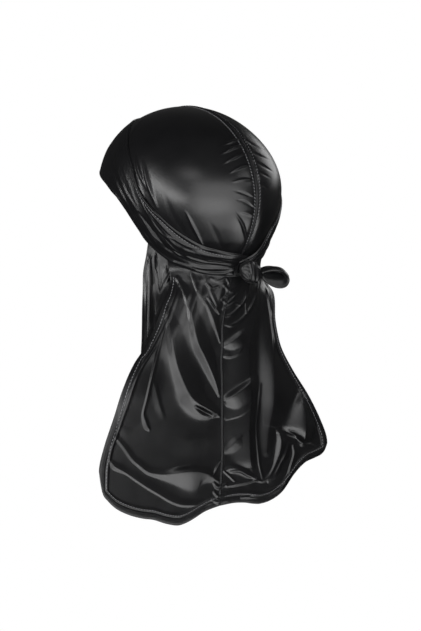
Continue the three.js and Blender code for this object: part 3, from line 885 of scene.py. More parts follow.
# Share of its height by which the loop narrows toward its hidden edge, its half thickness and what is added
# to it midway up and down, its creases, and how far inside the knot it starts
LOOP_CLOSING = 0.42
LOOP_THICKNESS = 2.0
LOOP_FULLNESS = 0.9
LOOP_CREASES = (0.14, 0.08)
LOOP_ROOT = 1.5

# Path of the loop: share of the way round, shares of its length out and of its height up, share of its width
LOOP_PATH = [
    (0, 0, 0.1, 0.55),
    (0.1, 0.16, 0.28, 0.85),
    (0.24, 0.44, 0.4, 1.05),
    (0.38, 0.78, 0.36, 1.05),
    (0.5, 0.98, 0.05, 1.05),
    (0.62, 0.86, -0.28, 1.05),
    (0.76, 0.54, -0.38, 1.05),
    (0.9, 0.18, -0.26, 0.85),
    (1, 0, -0.08, 0.55),
]


def knot():
    """Oval lump along the straps, with a raised turn of cloth round its waist and creases at both ends."""
    rows, columns = KNOT_GRID
    s = np.linspace(-1, 1, rows)[:, None]
    a = np.linspace(0, 2 * np.pi, columns, endpoint=False)[None, :]
    closing = np.where(s < 0, *KNOT_ENDS)
    shrink = np.sqrt(np.maximum(0.02, 1 - closing * np.abs(s) ** 3))
    lean = s - KNOT_LEAN * np.sin(a)
    turn = smooth(0.46, 0.36, np.abs(lean))
    end_crease = KNOT_END_CREASES[0] * np.sin(5 * a + 3 * s) + KNOT_END_CREASES[1] * np.sin(11 * a - 5 * s)
    turn_crease = KNOT_TURN_CREASE * np.sin(lean * 15 + 0.6 * np.sin(2 * a))
    crease = end_crease * (1 - turn) * smooth(0, 0.5, np.abs(s)) + turn_crease * turn
    radius = shrink * (KNOT_RADIUS + KNOT_TURN * turn + crease)
    across = (s + 0 * a) * KNOT_WIDTH / 2
    up = np.sin(a) * radius * KNOT_HEIGHT / 2 + s * KNOT_RISE
    out = np.sign(np.cos(a)) * np.abs(np.cos(a)) ** KNOT_FLATNESS * radius * KNOT_DEPTH / 2
    return KNOT_MIDDLE + across[..., None] * KNOT_ACROSS + up[..., None] * UP + out[..., None] * KNOT_OUT


def bow_loop():
    """Flat oval section carried round a teardrop path that narrows toward its hidden edge, with creases."""
    start = KNOT_MIDDLE + LOOP_OUT * (KNOT_WIDTH / 2 - LOOP_ROOT)
    rows, columns = LOOP_GRID
    t = np.linspace(0, 1, rows)
    a = np.linspace(0, 2 * np.pi, columns, endpoint=False)[None, :]
    out, high, width = along(LOOP_PATH, t)
    rise = (high * LOOP_HEIGHT)[:, None]
    path = start + (out * LOOP_LENGTH)[:, None] * LOOP_OUT + rise * UP
    closing = LOOP_CLOSING * (np.cos(a) - 1) * rise
    tangent = unit(np.gradient(path, axis=0))
    normal = unit(np.cross(LOOP_ACROSS, tangent))
    t = t[:, None]
    crease = 1 + LOOP_CREASES[0] * np.sin(3 * a + 7 * t) + LOOP_CREASES[1] * np.sin(7 * a - 12 * t)
    across = np.cos(a) * (width * LOOP_WIDTH / 2)[:, None]
    thick = np.sin(a) * crease * (LOOP_THICKNESS + LOOP_FULLNESS * np.sin(2 * np.pi * t) ** 2)
    place = path[:, None, :] + across[..., None] * LOOP_ACROSS + thick[..., None] * normal[:, None, :]
    return place + closing[..., None] * UP


# Tail

# Plan of the tail: depth as a share of its length, then seam, left edge and right edge, each across and back
# as shares of its half width
TAIL_PLAN = [
    (0, 0.056, 0.48, 0.36, 0.28, -0.35, 0.28),
    (0.1, 0.066, 0.485, 0.4, 0.29, -0.4, 0.31),
    (0.16, 0.086, 0.49, 0.47, 0.32, -0.448, 0.35),
    (0.26, 0.126, 0.49, 0.57, 0.34, -0.446, 0.37),
    (0.34, 0.12, 0.48, 0.68, 0.36, -0.472, 0.38),
    (0.39, 0.12, 0.47, 0.765, 0.37, -0.512, 0.38),
    (0.47, 0.105, 0.46, 0.865, 0.39, -0.602, 0.39),
    (0.57, 0.1, 0.455, 0.945, 0.4, -0.735, 0.4),
    (0.68, 0.095, 0.45, 1.035, 0.41, -0.85, 0.41),
    (0.76, 0.09, 0.445, 1.08, 0.42, -0.9, 0.42),
    (1, 0.12, 0.44, 1.085, 0.43, -0.905, 0.42),
]

# Share of the width from the seam to the hem, depth of the bottom edge on the left and on the right
TAIL_BOTTOM = [
    (0.00, 0.952, 0.952),
    (0.12, 0.964, 0.950),
    (0.22, 0.985, 0.956),
    (0.29, 0.997, 0.965),
    (0.36, 1.001, 0.970),
    (0.46, 0.987, 0.962),
    (0.56, 0.966, 0.935),
    (0.66, 0.953, 0.875),
    (0.76, 0.934, 0.836),
    (0.86, 0.905, 0.822),
    (0.93, 0.870, 0.812),
    (0.97, 0.838, 0.796),
    (1.00, 0.760, 0.770),
]

# Folds of the tail. Each row is a place on the crest, across and down the picture, the width of the flank on
# the right hand and on the left hand of one who goes along it, all in pixels, and the height in mm
TAIL_FOLDS = {
    "first left fold": [
        (167, 311, 1.5, 5, 0.9), (171, 334, 5.5, 12, 3.3), (174, 352, 6.5, 15, 4), (178, 368, 7.5, 17, 4.6),
        (184, 383, 10, 17, 5.6), (191, 396, 14, 15, 6.9), (200, 404, 15, 10, 6.6), (209, 409, 12, 7, 5),
        (216, 413, 6, 5, 2.4), (219, 416, 2, 2, 0.6),
    ],
    "pocket": [(196, 407, 2.5, 2.5, -0.8), (203, 411, 3.5, 3.5, -2.4), (211, 415, 2.5, 2.5, -0.8)],
    "second left fold": [
        (177, 279, 1.6, 4, 1), (184, 291, 2.6, 6, 1.8), (188, 303, 3.2, 8, 2.2), (192, 318, 4.5, 9, 3),
        (195, 332, 5.6, 11, 3.6), (199, 345, 7, 12, 4), (205, 357, 7.4, 10, 3.9), (211, 370, 6.8, 6, 3.6),
        (216, 383, 5, 3.4, 2.6), (219, 395, 2, 2, 1),
    ],
    "upper third fold": [
        (191.5, 273, 1.8, 3, 1), (195, 284, 2, 3.5, 1.3), (200, 295, 2, 4, 1.4), (204.5, 304, 1.2, 3, 0.7),
    ],
    "lower third fold": [
        (205, 301, 1.2, 2, 0.5), (209, 309, 2.4, 4, 1.1), (213, 319, 3, 5, 1.35), (217, 331, 2.4, 4, 1),
        (220, 342, 1.2, 2, 0.5),
    ],
    "fold by the knot": [(204, 274, 1.5, 2.5, 0.8), (210, 290, 1.5, 3, 1), (217, 307, 1.5, 3, 1)],
    "rise below the strap": [
        (164, 276, 8, 6, 0.4), (176, 278, 12, 8, 0.9), (192, 280, 12, 8, 1), (208, 280, 10, 8, 0.9),
        (218, 279, 3, 3, 0.3),
    ],
    "long thin fold": [
        (171, 286, 1.5, 1.8, 0.7), (168.5, 303, 1.5, 2, 0.9), (166, 320, 1.5, 2.2, 1),
        (162, 336, 1.6, 2.4, 1.1), (157, 355, 1.6, 2.4, 1.1), (152, 376, 1.6, 2.4, 1.1),
        (147, 398, 1.6, 2.4, 1.1), (143.5, 413, 1.8, 2.4, 1.2), (145, 421, 2.8, 3, 1.8),
        (147.5, 427, 3.4, 2.4, 1.7), (149, 430, 1.6, 1.6, 0.6),
    ],
    "slit": [
        (152, 377, 1, 1.5, 0.2), (156, 390, 4.5, 3, 0.8), (159, 403, 6, 3, 0.8), (163, 416, 4, 3, 0.3),
    ],
    "turned left edge": [
        (148, 344, 2, 8, 1), (143, 358, 7, 22, 4.6), (137, 374, 9, 28, 7), (132, 389, 8, 28, 6.4),
        (126, 406, 6, 22, 3.8), (120, 424, 3, 14, 1.4),
    ],
    "inner hem line": [
        (150, 338, 1.5, 2.4, 0.5), (145, 355, 1.8, 2.6, 0.9), (139, 371, 1.8, 2.6, 1.1),
        (133, 388, 1.8, 2.6, 1.2), (128, 404, 1.8, 2.6, 1.2), (122, 420, 1.8, 2.6, 1.2),
        (116, 436, 1.8, 2.6, 1.2), (111, 448, 1.8, 2.4, 1.1), (109, 459, 1.8, 2.2, 0.8),
    ],
    "belly": [(172, 436, 16, 14, 0.3), (188, 440, 18, 16, 0.6), (204, 438, 14, 14, 0.3)],
    "lower fold": [
        (116, 438, 1.8, 4, 0.7), (124, 448, 2, 5, 0.9), (132, 459, 2.2, 5, 1), (140, 466, 2.4, 6, 1),
        (148, 472, 2.6, 6, 1.2), (158, 474, 4.5, 6, 1.6), (169, 474, 9, 6, 2.7), (181, 472, 17, 6, 4.8),
        (192, 471, 20, 6, 5.3), (203, 472, 15, 6, 3.8), (211, 476, 8, 5, 1.9), (218, 481, 3, 3, 0.7),
    ],
    "hem fold": [
        (110, 461, 2, 3, 0.7), (114, 466, 3.4, 5, 1.4), (119, 469, 3.2, 6, 1.3), (126, 473, 1.8, 6, 0.7),
        (136, 480, 1.7, 7, 0.7), (148, 488, 1.7, 8, 0.7), (160, 495, 1.7, 8, 0.7), (170, 501, 1.8, 8, 0.7),
        (182, 505, 1.9, 7, 0.7), (196, 505, 1.8, 6, 0.6), (210, 503, 1.5, 4, 0.4),
    ],
    "first swag": [
        (259, 278, 2, 2, 1.4), (257, 290, 2, 2, 2.6), (253, 303, 2.2, 2, 2), (247, 313, 2.4, 2.2, 1.3),
        (239, 321, 2.2, 2.6, 1), (231, 325, 2, 2.6, 1), (224, 324, 1.5, 1.8, 0.5),
    ],
    "second swag": [
        (250, 281, 1.8, 1.8, 1.4), (247, 293, 1.8, 1.8, 2.4), (243, 302, 1.8, 1.8, 2),
        (237, 309, 1.8, 2.4, 1.1), (230, 315, 1.8, 2.4, 0.9), (224, 316, 1.4, 1.8, 0.5),
    ],
    "link between swags": [
        (246, 291, 1.4, 1.4, 0.7), (245.5, 301, 1.4, 1.4, 0.9), (246, 313, 1.4, 1.4, 0.7),
    ],
    "upper crumple": [
        (211, 278, 1.8, 1.5, 0.6), (217, 281, 2.2, 1.6, 1), (222, 280, 2.2, 1.6, 1),
        (226, 278, 2.2, 1.6, 1), (229, 283, 1.6, 1.6, 0.6),
    ],
    "second crumple": [
        (224, 285, 1.8, 1.5, 0.9), (230, 291, 2.4, 1.8, 1.3), (237, 288, 2.6, 1.6, 1.2),
        (241, 283, 1.6, 1.5, 0.6),
    ],
    "third crumple": [(222, 299, 1.6, 1.4, 0.5), (227, 296, 2, 1.5, 0.9), (234, 293, 2, 1.5, 0.8)],
    "fourth crumple": [
        (222, 300, 1.6, 1.4, 0.5), (227, 303, 2.2, 1.6, 1), (232, 299, 2.2, 1.6, 1),
        (237, 294, 1.5, 1.5, 0.6),
    ],
    "fifth crumple": [
        (223, 309, 1.6, 1.4, 0.5), (229, 306, 2.2, 1.6, 1), (234, 303, 2.2, 1.6, 1),
        (240, 305, 1.5, 1.5, 0.6),
    ],
    "left crumple": [(206, 283, 1.6, 1.8, 0.6), (212, 288, 2, 1.6, 1), (218, 287, 2, 1.6, 0.8)],
    "lower left crumple": [(208, 298, 1.5, 2, 0.8), (213, 305, 1.5, 2.2, 1.6), (219, 313, 1.5, 2, 1.1)],
    "upper pleat": [
        (223, 346, 2, 2, 0.4), (226, 345, 5, 4, 1.4), (231, 342, 9, 5, 2.6), (238, 337, 11, 5, 2.7),
        (244, 332, 6, 4, 1),
    ],
    "under the upper pleat": [
        (223, 356, 1.4, 2, 0.4), (227, 356.5, 2, 4, 1.2), (232, 356, 2, 4, 1.2), (238, 353, 2, 3.5, 1),
        (242, 348, 1.4, 2, 0.4),
    ],
    "middle pleat": [
        (223, 401, 2, 2, 0.4), (226, 400, 9, 5, 2.6), (233, 396, 15, 6, 4.6), (243, 389, 15, 6, 4.6),
        (250, 383, 12, 5, 3.4), (254, 377, 4, 3, 1),
    ],
    "under the middle pleat": [
        (227, 419, 1.6, 5, 0.5), (240, 415, 1.8, 6, 0.8), (249, 408, 1.8, 5, 0.7), (255, 400, 1.6, 3, 0.4),
    ],
    "lower pleat": [
        (223, 453, 2, 2, 0.3), (226, 450, 5, 5, 0.9), (231, 446, 7, 5, 1.35), (236, 441, 7, 5, 1.3),
        (240, 437, 3, 3, 0.5),
    ],
    "edge of the valley": [
        (258, 300, 6, 4, 0.6), (253, 325, 14, 6, 2.2), (249, 345, 20, 7, 3.6), (249, 370, 24, 7, 4.2),
        (251, 395, 26, 6, 4.2), (249, 430, 26, 6, 4.2), (250, 458, 18, 6, 2.6), (251, 468, 6, 4, 0.8),
    ],
    "main right fold": [
        (266, 288, 3, 6, 1.2), (270, 302, 12, 10, 7), (272, 322, 15, 16, 10), (273, 345, 16, 22, 11),
        (274, 370, 17, 26, 10.6), (274, 393, 16, 24, 8.4), (272, 412, 13, 18, 5), (268, 432, 9, 12, 2.6),
        (266, 452, 5, 5, 0.8),
    ],
    "rim of the main right fold": [
        (260, 384, 1.6, 2.2, 0.4), (258, 405, 1.6, 2.2, 0.7), (256, 424, 1.6, 2.2, 0.8),
        (257, 445, 1.6, 2.2, 0.8), (259, 464, 1.6, 2.2, 0.8), (262, 478, 1.6, 2, 0.5),
    ],
    "shoulder fold": [
        (266, 283, 2.4, 3, 1), (269, 298, 2.8, 4, 3.4), (272, 318, 2.8, 4, 4), (274, 335, 2.6, 4, 3),
        (275, 352, 2, 3, 1),
    ],
    "corner fold": [
        (300, 392, 5, 3, 3.1), (303, 402, 12, 6, 9.6), (305, 414, 19, 8, 11.4), (306, 426, 23, 9, 11.8),
        (305, 436, 15, 7, 8.8), (302, 443, 4, 4, 1.5),
    ],
    "under the corner": [
        (277, 432, 1.6, 3, 0.3), (287, 434, 2, 4, 0.6), (297, 437, 2.2, 5, 0.8), (305, 440, 2.2, 5, 0.7),
        (314, 444, 2, 4, 0.3),
    ],
    "upright corner fold": [
        (278, 430, 3, 3, 1.2), (281, 440, 5, 6, 4.2), (280, 450, 5, 6, 4), (277, 459, 3.4, 4, 2.4),
        (274, 467, 2.2, 3, 1.5), (269, 476, 2.2, 3, 1.3), (262, 481, 1.8, 2, 0.8), (255, 479, 1.8, 2, 0.7),
    ],
    "second upright fold": [
        (288, 445, 2.4, 2.6, 1.4), (285, 455, 2.8, 3, 2.2), (280, 464, 2.2, 3, 1.6),
        (275, 474, 2.2, 3, 1.4), (268, 481, 1.8, 2.4, 0.7),
    ],
    "third upright fold": [
        (293, 446, 1.8, 2.4, 1.2), (294, 454, 2, 2.8, 1.7), (291, 465, 2, 2.8, 1.7),
        (287, 477, 2, 2.6, 1.6), (281, 487, 2.2, 2.4, 1.4), (268, 492, 2, 3.5, 1.2),
        (255, 495, 2, 3.5, 1.2), (241, 497, 1.6, 2, 0.6),
    ],
    "upper star fold": [
        (257, 480, 2, 2, 0.6), (249, 474, 3, 5, 1.4), (240, 469, 3, 6, 1.8), (231, 468, 3, 5, 1.5),
        (224, 470, 1.6, 2, 0.5),
    ],
    "inner star fold": [
        (256, 479, 1.4, 1.4, 0.4), (247, 475, 1.6, 1.8, 0.9), (239, 471, 1.6, 1.8, 0.9),
        (230, 472, 1.4, 1.6, 0.5),
    ],
    "lower star fold": [
        (256, 479, 2, 2, 0.7), (246, 482, 2.2, 2.4, 1.2), (236, 484, 2.2, 2.4, 1.2),
        (226, 486, 1.6, 1.8, 0.5),
    ],
    "star link": [(222, 470, 1.4, 1.4, 0.5), (228, 475, 1.6, 1.6, 0.8), (234, 481, 1.4, 1.4, 0.5)],
}

# Lumps of cloth where the tail's seam meets the hem
HEM_LUMPS = [
    (221, 462, 217, 468, 214, 474, 1.8, 1.8, 1.6, 0.5, 0.5),
    (214, 483, 218, 487, 226, 484, 2.2, 2.2, 1.8, 0.5, 0.5),
    (214, 492, 219, 497, 226, 494, 2.2, 2.2, 1.8, 0.5, 0.5),
    (212, 500, 218, 502, 226, 500, 1.8, 2.2, 1.3, 0.5, 0.5),
]


def tail_base(side, u, v):
    """Undisturbed tail at share u from the seam to the hem and share v of the way down: wrapped on the
    column at its top, then hanging between the seam line and the edge line of the plan."""
    bottom = along(TAIL_BOTTOM, u)
    depth = v * (bottom[0] if side > 0 else bottom[1])
    plan = along(TAIL_PLAN, depth)
    seam_x, seam_y = plan[0], plan[1]
    edge_x, edge_y = (plan[2], plan[3]) if side > 0 else (plan[4], plan[5])
    bend = 1 - (1 - u) ** 2
    x = lerp(lerp(seam_x, edge_x, u), lerp(seam_x, edge_x, bend), 0.25 * (1 - depth))
    y = seam_y + (edge_y - seam_y) * u * u
    hanging = np.stack([x * TAIL_HALF, y * TAIL_HALF, TAIL_TOP - depth * TAIL_LENGTH], -1)
    angle = lerp(TAIL_TOP_MIDDLE, TAIL_TOP_LEFT if side > 0 else TAIL_TOP_RIGHT, u)
    elevation = np.degrees(np.arctan2(hanging[..., 2], COLUMN_DEPTH / 2 + 4))
    if side < 0:
        elevation = elevation + TAIL_CORNER_RISE * smooth(0.3, 0.9, u) * smooth(0.12, 0, depth)
    d = direction(angle, elevation)
    wrapped = on_form(d) + form_normal(d) * TAIL_LIFT
    blend = smooth(0.03, 0.15, depth)[..., None]
    return wrapped * (1 - blend) + hanging * blend


def gathers(side, u, v):
    """Fine upright gathers where the tail leaves the straps, fading downward, with uneven steps."""
    height = GATHER_LEFT if side > 0 else GATHER_RIGHT
    phase = u * 34 + 1.3 * np.sin(u * 11) + 2.1 * side
    return height * np.sin(phase) * smooth(0.085, 0.12, v) * smooth(0.36, 0.14, v) * smooth(0, 0.06, u)


def tail_middle(side, u, v):
    """Middle of the tail's cloth: its folds are heights toward the eye of the photo."""
    points = tail_base(side, u, v)
    pixels = seen(points)
    free = smooth(0.045, 0.1, v)
    creases = [*TAIL_FOLDS.values(), *short_creases(HEM_LUMPS)]
    height = crease_field(pixels, creases) * free + gathers(side, u, v)
    return points + unit(EYE - points) * height[..., None]


def tail_half(side):
    """Cloth with a turned hem: the hem is raised, with a groove along its stitches."""
    rows, columns = TAIL_GRID
    u = np.linspace(0, 1, columns)[None, :]
    v = np.linspace(0, 1, rows)[:, None]
    u, v = np.broadcast_arrays(u, v)
    middle = tail_middle(side, u, v)
    n = grid_normals(middle, np.array([0.0, 1.0, 0.0]))
    width = np.linalg.norm(middle[:, -1] - middle[:, 0], axis=-1)[:, None]
    from_edge = np.minimum((1 - u) * width, (1 - v) * TAIL_LENGTH * BOTTOM_REACH)
    lower = smooth(*HEM_START, v)
    hem = smooth(HEM_WIDTH + 0.6, HEM_WIDTH - 0.6, from_edge) * lower
    groove = bell(from_edge - HEM_WIDTH + HEM_GROOVE_IN, HEM_GROOVE_WIDTH) * lower
    roll = HEM_ROLL * bell(from_edge, HEM_ROLL_WIDTH) * lower
    bead = bell(from_edge - HEM_WIDTH - 0.2, HEM_BEAD_WIDTH) * lower
    face = CLOTH / 2 + HEM_RISE * hem + HEM_BEAD * bead - HEM_GROOVE * groove - roll
    outer = middle + n * face[..., None]
    inner = middle - n * (CLOTH / 2 - roll)[..., None]
    for sheet in (outer, inner):
        sheet[..., 0] += side * PANEL_GAP
    return outer, inner, n


def tail_seam():
    """Rib over the join of the two panels, following their own folds. It is low and narrow at its top."""
    v = np.linspace(TAIL_SEAM_TOP, TAIL_SEAM_END, TAIL_SEAM_ROWS)[:, None]
    beside = np.broadcast_arrays([[0.0, 0.012]], v)
    left, right = tail_middle(1, *beside), tail_middle(-1, *beside)
    foot = (left[:, 0] + right[:, 0]) / 2
    across = unit(left[:, 1] - right[:, 1])
    down = unit(np.gradient(foot, axis=0))
    n = unit(np.cross(across, down))
    n = np.where(n[:, 1:2] < 0, -n, n)
    x = np.linspace(-1, 1, SEAM_COLUMNS)
    full = smooth(0.2, 0.32, v)
    wave = SEAM_WAVE * np.sin(2 * np.pi * TAIL_SEAM_STITCHES * v) * full
    top = (1 - x**2) * (lerp(0.2, SEAM_HEIGHT - 0.1, full) + wave) + 0.5
    base = foot[:, None] + across[:, None] * (lerp(0.4, 1, full) * x * SEAM_WIDTH / 2)[..., None]
    return base + n[:, None] * top[..., None], base + n[:, None] * 0.3


# The same for the under layer in front of the left edge: depth, front edge, hind edge
SIDE_PLAN = [
    (-0.08, 0.475, 0.155, 0.420, 0.295),
    (0.00, 0.500, 0.150, 0.370, 0.245),
    (0.06, 0.520, 0.145, 0.350, 0.225),
    (0.13, 0.522, 0.143, 0.375, 0.247),
    (0.20, 0.525, 0.142, 0.450, 0.303),
    (0.32, 0.530, 0.142, 0.600, 0.335),
    (0.44, 0.560, 0.160, 0.660, 0.350),
]

# Its folds, with the columns of the crown's ridges
SIDE_CREASES = [
    (149, 246, 149, 290, 148, 345, 2.5, 3, 2.6, 0.4, 0.4),
    (147, 264, 151, 256, 153, 248, 1.8, 1.8, 1.2, 0.2, 0.4),
    (155, 248, 156, 262, 159, 288, 1.6, 2, -2.6, 0.4, 0.4),
    (157, 260, 157, 277, 159, 293, 1.8, 2.4, 2.2, 0.4, 0.1),
    (173, 268, 168, 278, 160, 293, 2, 2.4, 1.8, 0.4, 0.1),
    (165, 266, 165, 274, 163, 284, 3, 3, 1.4, 0.4, 0.4),
    (153, 285, 153, 315, 152, 350, 2.4, 2.4, -2.2, 0.4, 0.4),
]


def side_fold():
    """Hanging sheet between two edges, with a long wave across it and its folds on the outer side."""
    rows, columns = SIDE_GRID
    u = np.linspace(0, 1, columns)[None, :]
    depth = np.linspace(SIDE_PLAN[0][0], SIDE_PLAN[-1][0], rows)[:, None]
    u, depth = np.broadcast_arrays(u, depth)
    front_x, front_y, hind_x, hind_y = along(SIDE_PLAN, depth)
    wave = 1.4 * np.sin(u * 2.5 * np.pi) * smooth(0, 0.1, depth)
    x = lerp(front_x, hind_x, u) * TAIL_HALF + wave
    y = lerp(front_y, hind_y, u) * TAIL_HALF + wave * 0.6
    points = np.stack([x, y, TAIL_TOP - depth * TAIL_LENGTH], -1)
    out = np.array([1.0, 0.6, 0.0])
    n = grid_normals(points, out)
    height = crease_field(seen(points), short_creases(SIDE_CREASES)) * smooth(-0.02, 0.02, depth)
    points = points + n * height[..., None]
    n = grid_normals(points, out)
    return points + n * CLOTH / 2, points - n * CLOTH / 2


# Stitches


# Points round a stitch, and the rings along it
STITCH_SIDES = 6
STITCH_RINGS = 5


def stitches(name, places, aims, normals, length, thick):
    """Short rounded threads, one at each place: a six-sided ring at five stations, widest in the middle."""
    stations = np.linspace(-1, 1, STITCH_RINGS)
    ring = np.linspace(0, 2 * np.pi, STITCH_SIDES, endpoint=False)
    swell = np.sqrt(np.maximum(0.05, 1 - stations**2)) * thick / 2
    side = unit(np.cross(aims, normals))
    lift = unit(np.cross(side, aims))
    points = (
        places[:, None, None]
        + aims[:, None, None] * (stations * length / 2)[None, :, None, None]
        + side[:, None, None] * (swell[:, None] * np.cos(ring))[None, :, :, None]
        + lift[:, None, None] * (swell[:, None] * np.sin(ring))[None, :, :, None]
    ).reshape(-1, 3)
    cap = np.array([[0, 1, 2, 3], [0, 3, 4, 5]])
    last_ring = STITCH_SIDES * (STITCH_RINGS - 1)
    tube = grid_faces(STITCH_RINGS, STITCH_SIDES, closed=True)
    one = np.concatenate([tube, cap, cap[:, ::-1] + last_ring])
    first = np.arange(len(places)) * STITCH_SIDES * STITCH_RINGS
    faces = (one[None] + first[:, None, None]).reshape(-1, 4)
    return mesh_object(name, points, outward(points, faces))


def spaced(path, normals, gap):
    """Places every gap mm along a path, with its direction and normal there."""
    run = np.concatenate([[0], np.linalg.norm(np.diff(path, axis=0), axis=-1).cumsum()])
    at = np.arange(gap, run[-1] - gap, gap)

    def pick(values):
        return np.stack([np.interp(at, run, values[:, k]) for k in range(3)], -1)

    return pick(path), unit(pick(np.gradient(path, axis=0))), unit(pick(normals))


# Putting the pieces together

SIDES = ((1, "left"), (-1, "right"))

for side, word in SIDES:
    panel = dress(shell(f"crown_panel_{word}", *crown_half(side)), SATIN, "satin", f"crown_{word}")

dress(shell("crown_seam_rib", *crown_seam()), SEAM_THREAD, "thread", "crown_seam")

# Node, edges, pleats, height of the inner face, grid, flat length and width in metres
STRAPS = [
    ("strap_wrap", STRAP_WRAP, WRAP_PLEATS, wrap_inner, WRAP_GRID, 0.59, 0.038),
    ("strap_fold_left", FOLD_LEFT, LEFT_PLEATS, fold_inner, FOLD_GRID, 0.15, 0.015),
    ("strap_fold_right", FOLD_RIGHT, RIGHT_PLEATS, fold_inner, FOLD_GRID, 0.15, 0.017),
]

for node, table, pleat_table, height, grid, length, width in STRAPS:
    faces = strap_band(table, pleat_table, height, grid)
    band = dress(shell(f"{node}_band", *faces), SATIN_STRAP, "satin", node)

dress(swept("knot_of_straps", knot()), SATIN_STRAP, "satin", "knot")
dress(swept("bow_loop_of_strap", bow_loop()), SATIN_STRAP, "satin", "bow_loop")

TAIL_HALVES = {side: tail_half(side) for side, word in SIDES}

for side, word in SIDES:
    outer, inner, n = TAIL_HALVES[side]
    panel = dress(shell(f"tail_panel_{word}", outer, inner), SATIN, "satin", f"tail_{word}")

dress(shell("tail_seam_rib", *tail_seam()), SEAM_THREAD, "thread", "tail_seam")

layer = dress(shell("side_fold_layer", *side_fold()), SATIN, "satin", "side_fold")


# Stitches of the hem, the straps' upper edges and both sides of the crown's seam: distance from one to the
# next, length and thickness of a thread
HEM_STITCH = (3.1, 2.3, 0.75)
STRAP_STITCH = (2.9, 2.1, 0.7)
CROWN_STITCH = (3.0, 2.2, 0.85)

# Degrees from the upper edge of a strap to its stitches, and from the crown's seam to the stitches beside it
STRAP_STITCH_DOWN = 2.6
CROWN_STITCH_ASIDE = 2.9

# How much the crown's stitches slant toward the side, and their range in degrees from the nape
CROWN_STITCH_SLANT = 0.5
CROWN_STITCH_RANGE = (10, 150)

# Width of a tail panel near its hem, for the column where the stitches run
PANEL_WIDTH = TAIL_HALF + 20


def sew(name, path, normals, stitch, slant=0.0):
    """Stitches along a path, turned by a slant toward the left side."""
    gap, length, thick = stitch
    places, aims, out = spaced(path, normals, gap)
    aims = unit(aims + [slant, 0, 0])
    dress(stitches(name, places, aims, out, length, thick), THREAD_WITH_PAINTED_SHEEN, "thread")


for side, word in SIDES:
    outer, inner, n = TAIL_HALVES[side]
    rows, columns = outer.shape[:2]
    column = np.argmin(np.abs(np.linspace(0, 1, columns) - (1 - HEM_WIDTH / PANEL_WIDTH)))
    row = int(rows * (1 - HEM_WIDTH / TAIL_LENGTH))
    top = int(rows * HEM_START[0])
    path = np.concatenate([outer[top:row, column], outer[row, column - 1 : 2 : -1]])
    normals = np.concatenate([n[top:row, column], n[row, column - 1 : 2 : -1]])
    sew(f"hem_stitches_{word}", path + normals * 0.15, normals, HEM_STITCH)

for word, table in (("left", FOLD_LEFT), ("right", FOLD_RIGHT)):
    angle = np.linspace(table[0][0] + 3, table[-1][0] - 3, 200)
    elevation = along(table, angle)[0] - STRAP_STITCH_DOWN
    d = direction(angle, elevation)
    n = form_normal(d)
    path = on_form(d) + n * (fold_inner(angle, elevation) + CLOTH + 0.25)[:, None]
    sew(f"strap_stitches_{word}", path, n, STRAP_STITCH)

for side, word in SIDES:
    from_nape = np.linspace(*CROWN_STITCH_RANGE, 400)
    d = crown_direction(from_nape, np.full_like(from_nape, CROWN_STITCH_ASIDE)) * [side, 1, 1]
    n = form_normal(d)
    sew(f"crown_stitches_{word}", on_form(d) - n * 0.25, n, CROWN_STITCH, side * CROWN_STITCH_SLANT)


# Camera, light and stage


def placed(name, data, position, axes):
    """Camera or light at a point in metres, its own axes along three unit vectors."""
    made = bpy.data.objects.new(name, data)
    turn = Matrix(np.stack(axes, -1).tolist()).to_4x4()
    made.matrix_world = Matrix.Translation(position) @ turn
    bpy.context.scene.collection.objects.link(made)
    return made


def camera():
    """The photo's view, through a lens of the same focal length in pixels."""
    lens = bpy.data.cameras.new("view")
    lens.sensor_width = SENSOR
    lens.lens = FOCAL_PIXELS / PHOTO_HEIGHT * SENSOR
    lens.clip_end = 20
    axes = VIEW_RIGHT, VIEW_UP, TOWARD_EYE
    bpy.context.scene.camera = placed("view", lens, (EYE + FORM_MIDDLE) * MM, axes)


# Point that every light faces, in metres
LIGHT_AIM = np.array([0.0, 0.02, -0.15])


def softbox(name, angle, elevation, distance, width, height, power, roll=0.0):
    """Area light at degrees round and up, facing the middle of the object."""
    away = direction(angle, elevation)
    light = bpy.data.lights.new(name, "AREA")
    light.shape = "RECTANGLE"
    light.size = width
    light.size_y = height
    light.energy = power
    side = unit(np.cross(UP, away))
    up = np.cross(away, side)
    axes = side * np.cos(roll) + up * np.sin(roll), up * np.cos(roll) - side * np.sin(roll), away
    placed(name, light, LIGHT_AIM + away * distance, axes)


# Stage in metres: level of the floor, its near and far line, radius of the curve into the backdrop, shares
# of the run where the curve starts and ends, rise of the backdrop over one run, and half the width
FLOOR_LEVEL = -0.62
FLOOR_NEAR = -3.0
FLOOR_FAR = 1.4
CURVE_RADIUS = 1.2
CURVE_START = 0.45
CURVE_END = 0.65
BACKDROP_RISE = 8.0
STAGE_HALF_WIDTH = 4.0


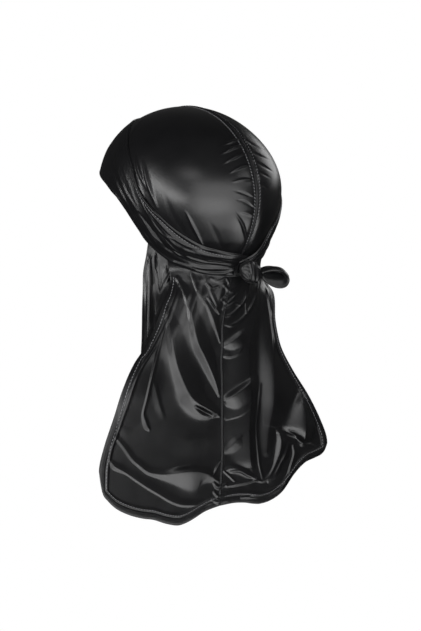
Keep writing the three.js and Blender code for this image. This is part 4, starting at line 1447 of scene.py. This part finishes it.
def stage():
    """Floor that rises in a curve into a backdrop behind the object."""
    rows, columns = STAGE_GRID
    run = np.linspace(0, 1, rows)
    arc = np.pi / 2 * np.clip((run - CURVE_START) / (CURVE_END - CURVE_START), 0, 1)
    flat = lerp(FLOOR_NEAR, FLOOR_FAR, run / CURVE_START)
    depth = np.where(run < CURVE_START, flat, FLOOR_FAR + CURVE_RADIUS * np.sin(arc))
    height = CURVE_RADIUS * (1 - np.cos(arc)) + np.clip(run - CURVE_END, 0, None) * BACKDROP_RISE
    away = unit(-TOWARD_EYE * [1, 1, 0])
    width = np.linspace(-STAGE_HALF_WIDTH, STAGE_HALF_WIDTH, columns)
    points = (
        depth[:, None, None] * away
        + width[None, :, None] * VIEW_RIGHT
        + (height + FLOOR_LEVEL)[:, None, None] * UP
    )
    points = points / MM - FORM_MIDDLE
    sheet = mesh_object("backdrop", points, grid_faces(rows, columns)[:, ::-1])
    sheet.data.materials.append(stage_material("white paper", 1.0))
    sheet.visible_glossy = False
    sheet.visible_diffuse = False


def world():
    """White surroundings that only the camera sees."""
    w = bpy.data.worlds.new("studio")
    w.use_nodes = True
    background = w.node_tree.nodes["Background"]
    background.inputs["Color"].default_value = (1, 1, 1, 1)
    background.inputs["Strength"].default_value = 1.0
    w.cycles_visibility.glossy = False
    w.cycles_visibility.diffuse = False
    bpy.context.scene.world = w
    bpy.context.scene.view_settings.view_transform = "Standard"


# Name, degrees round and up, distance, width and height in metres, power in watts, roll in radians
LIGHTS = [
    ("left box", 93, 8, 2.2, 2.4, 0.36, 24, -0.5),
    ("wide low box", 30, -12, 2.2, 2.3, 1.1, 25),
    ("upper box", 22, 14, 2.2, 2.9, 0.7, 14),
    ("small high box", 59, 31, 2.2, 0.8, 0.35, 2.2),
    ("high right box", -26, 27, 2.2, 0.7, 0.45, 2.4),
    ("middle right box", -9, -12, 2.2, 0.75, 1.5, 6),
    ("lower box", 14, -38, 2.3, 2.2, 0.6, 9),
    ("low right box", -29, -37, 2.2, 1.2, 0.75, 9.4),
    ("right box", -100, 21, 2.2, 1.2, 0.8, 6.0),
    ("flat fill", -54, 4, 2.6, 3.2, 1.4, 0.6),
    ("top fill", 10, 60, 2.6, 2.0, 2.0, 0.6),
]

camera()
stage()
world()
for row in LIGHTS:
    softbox(*row)
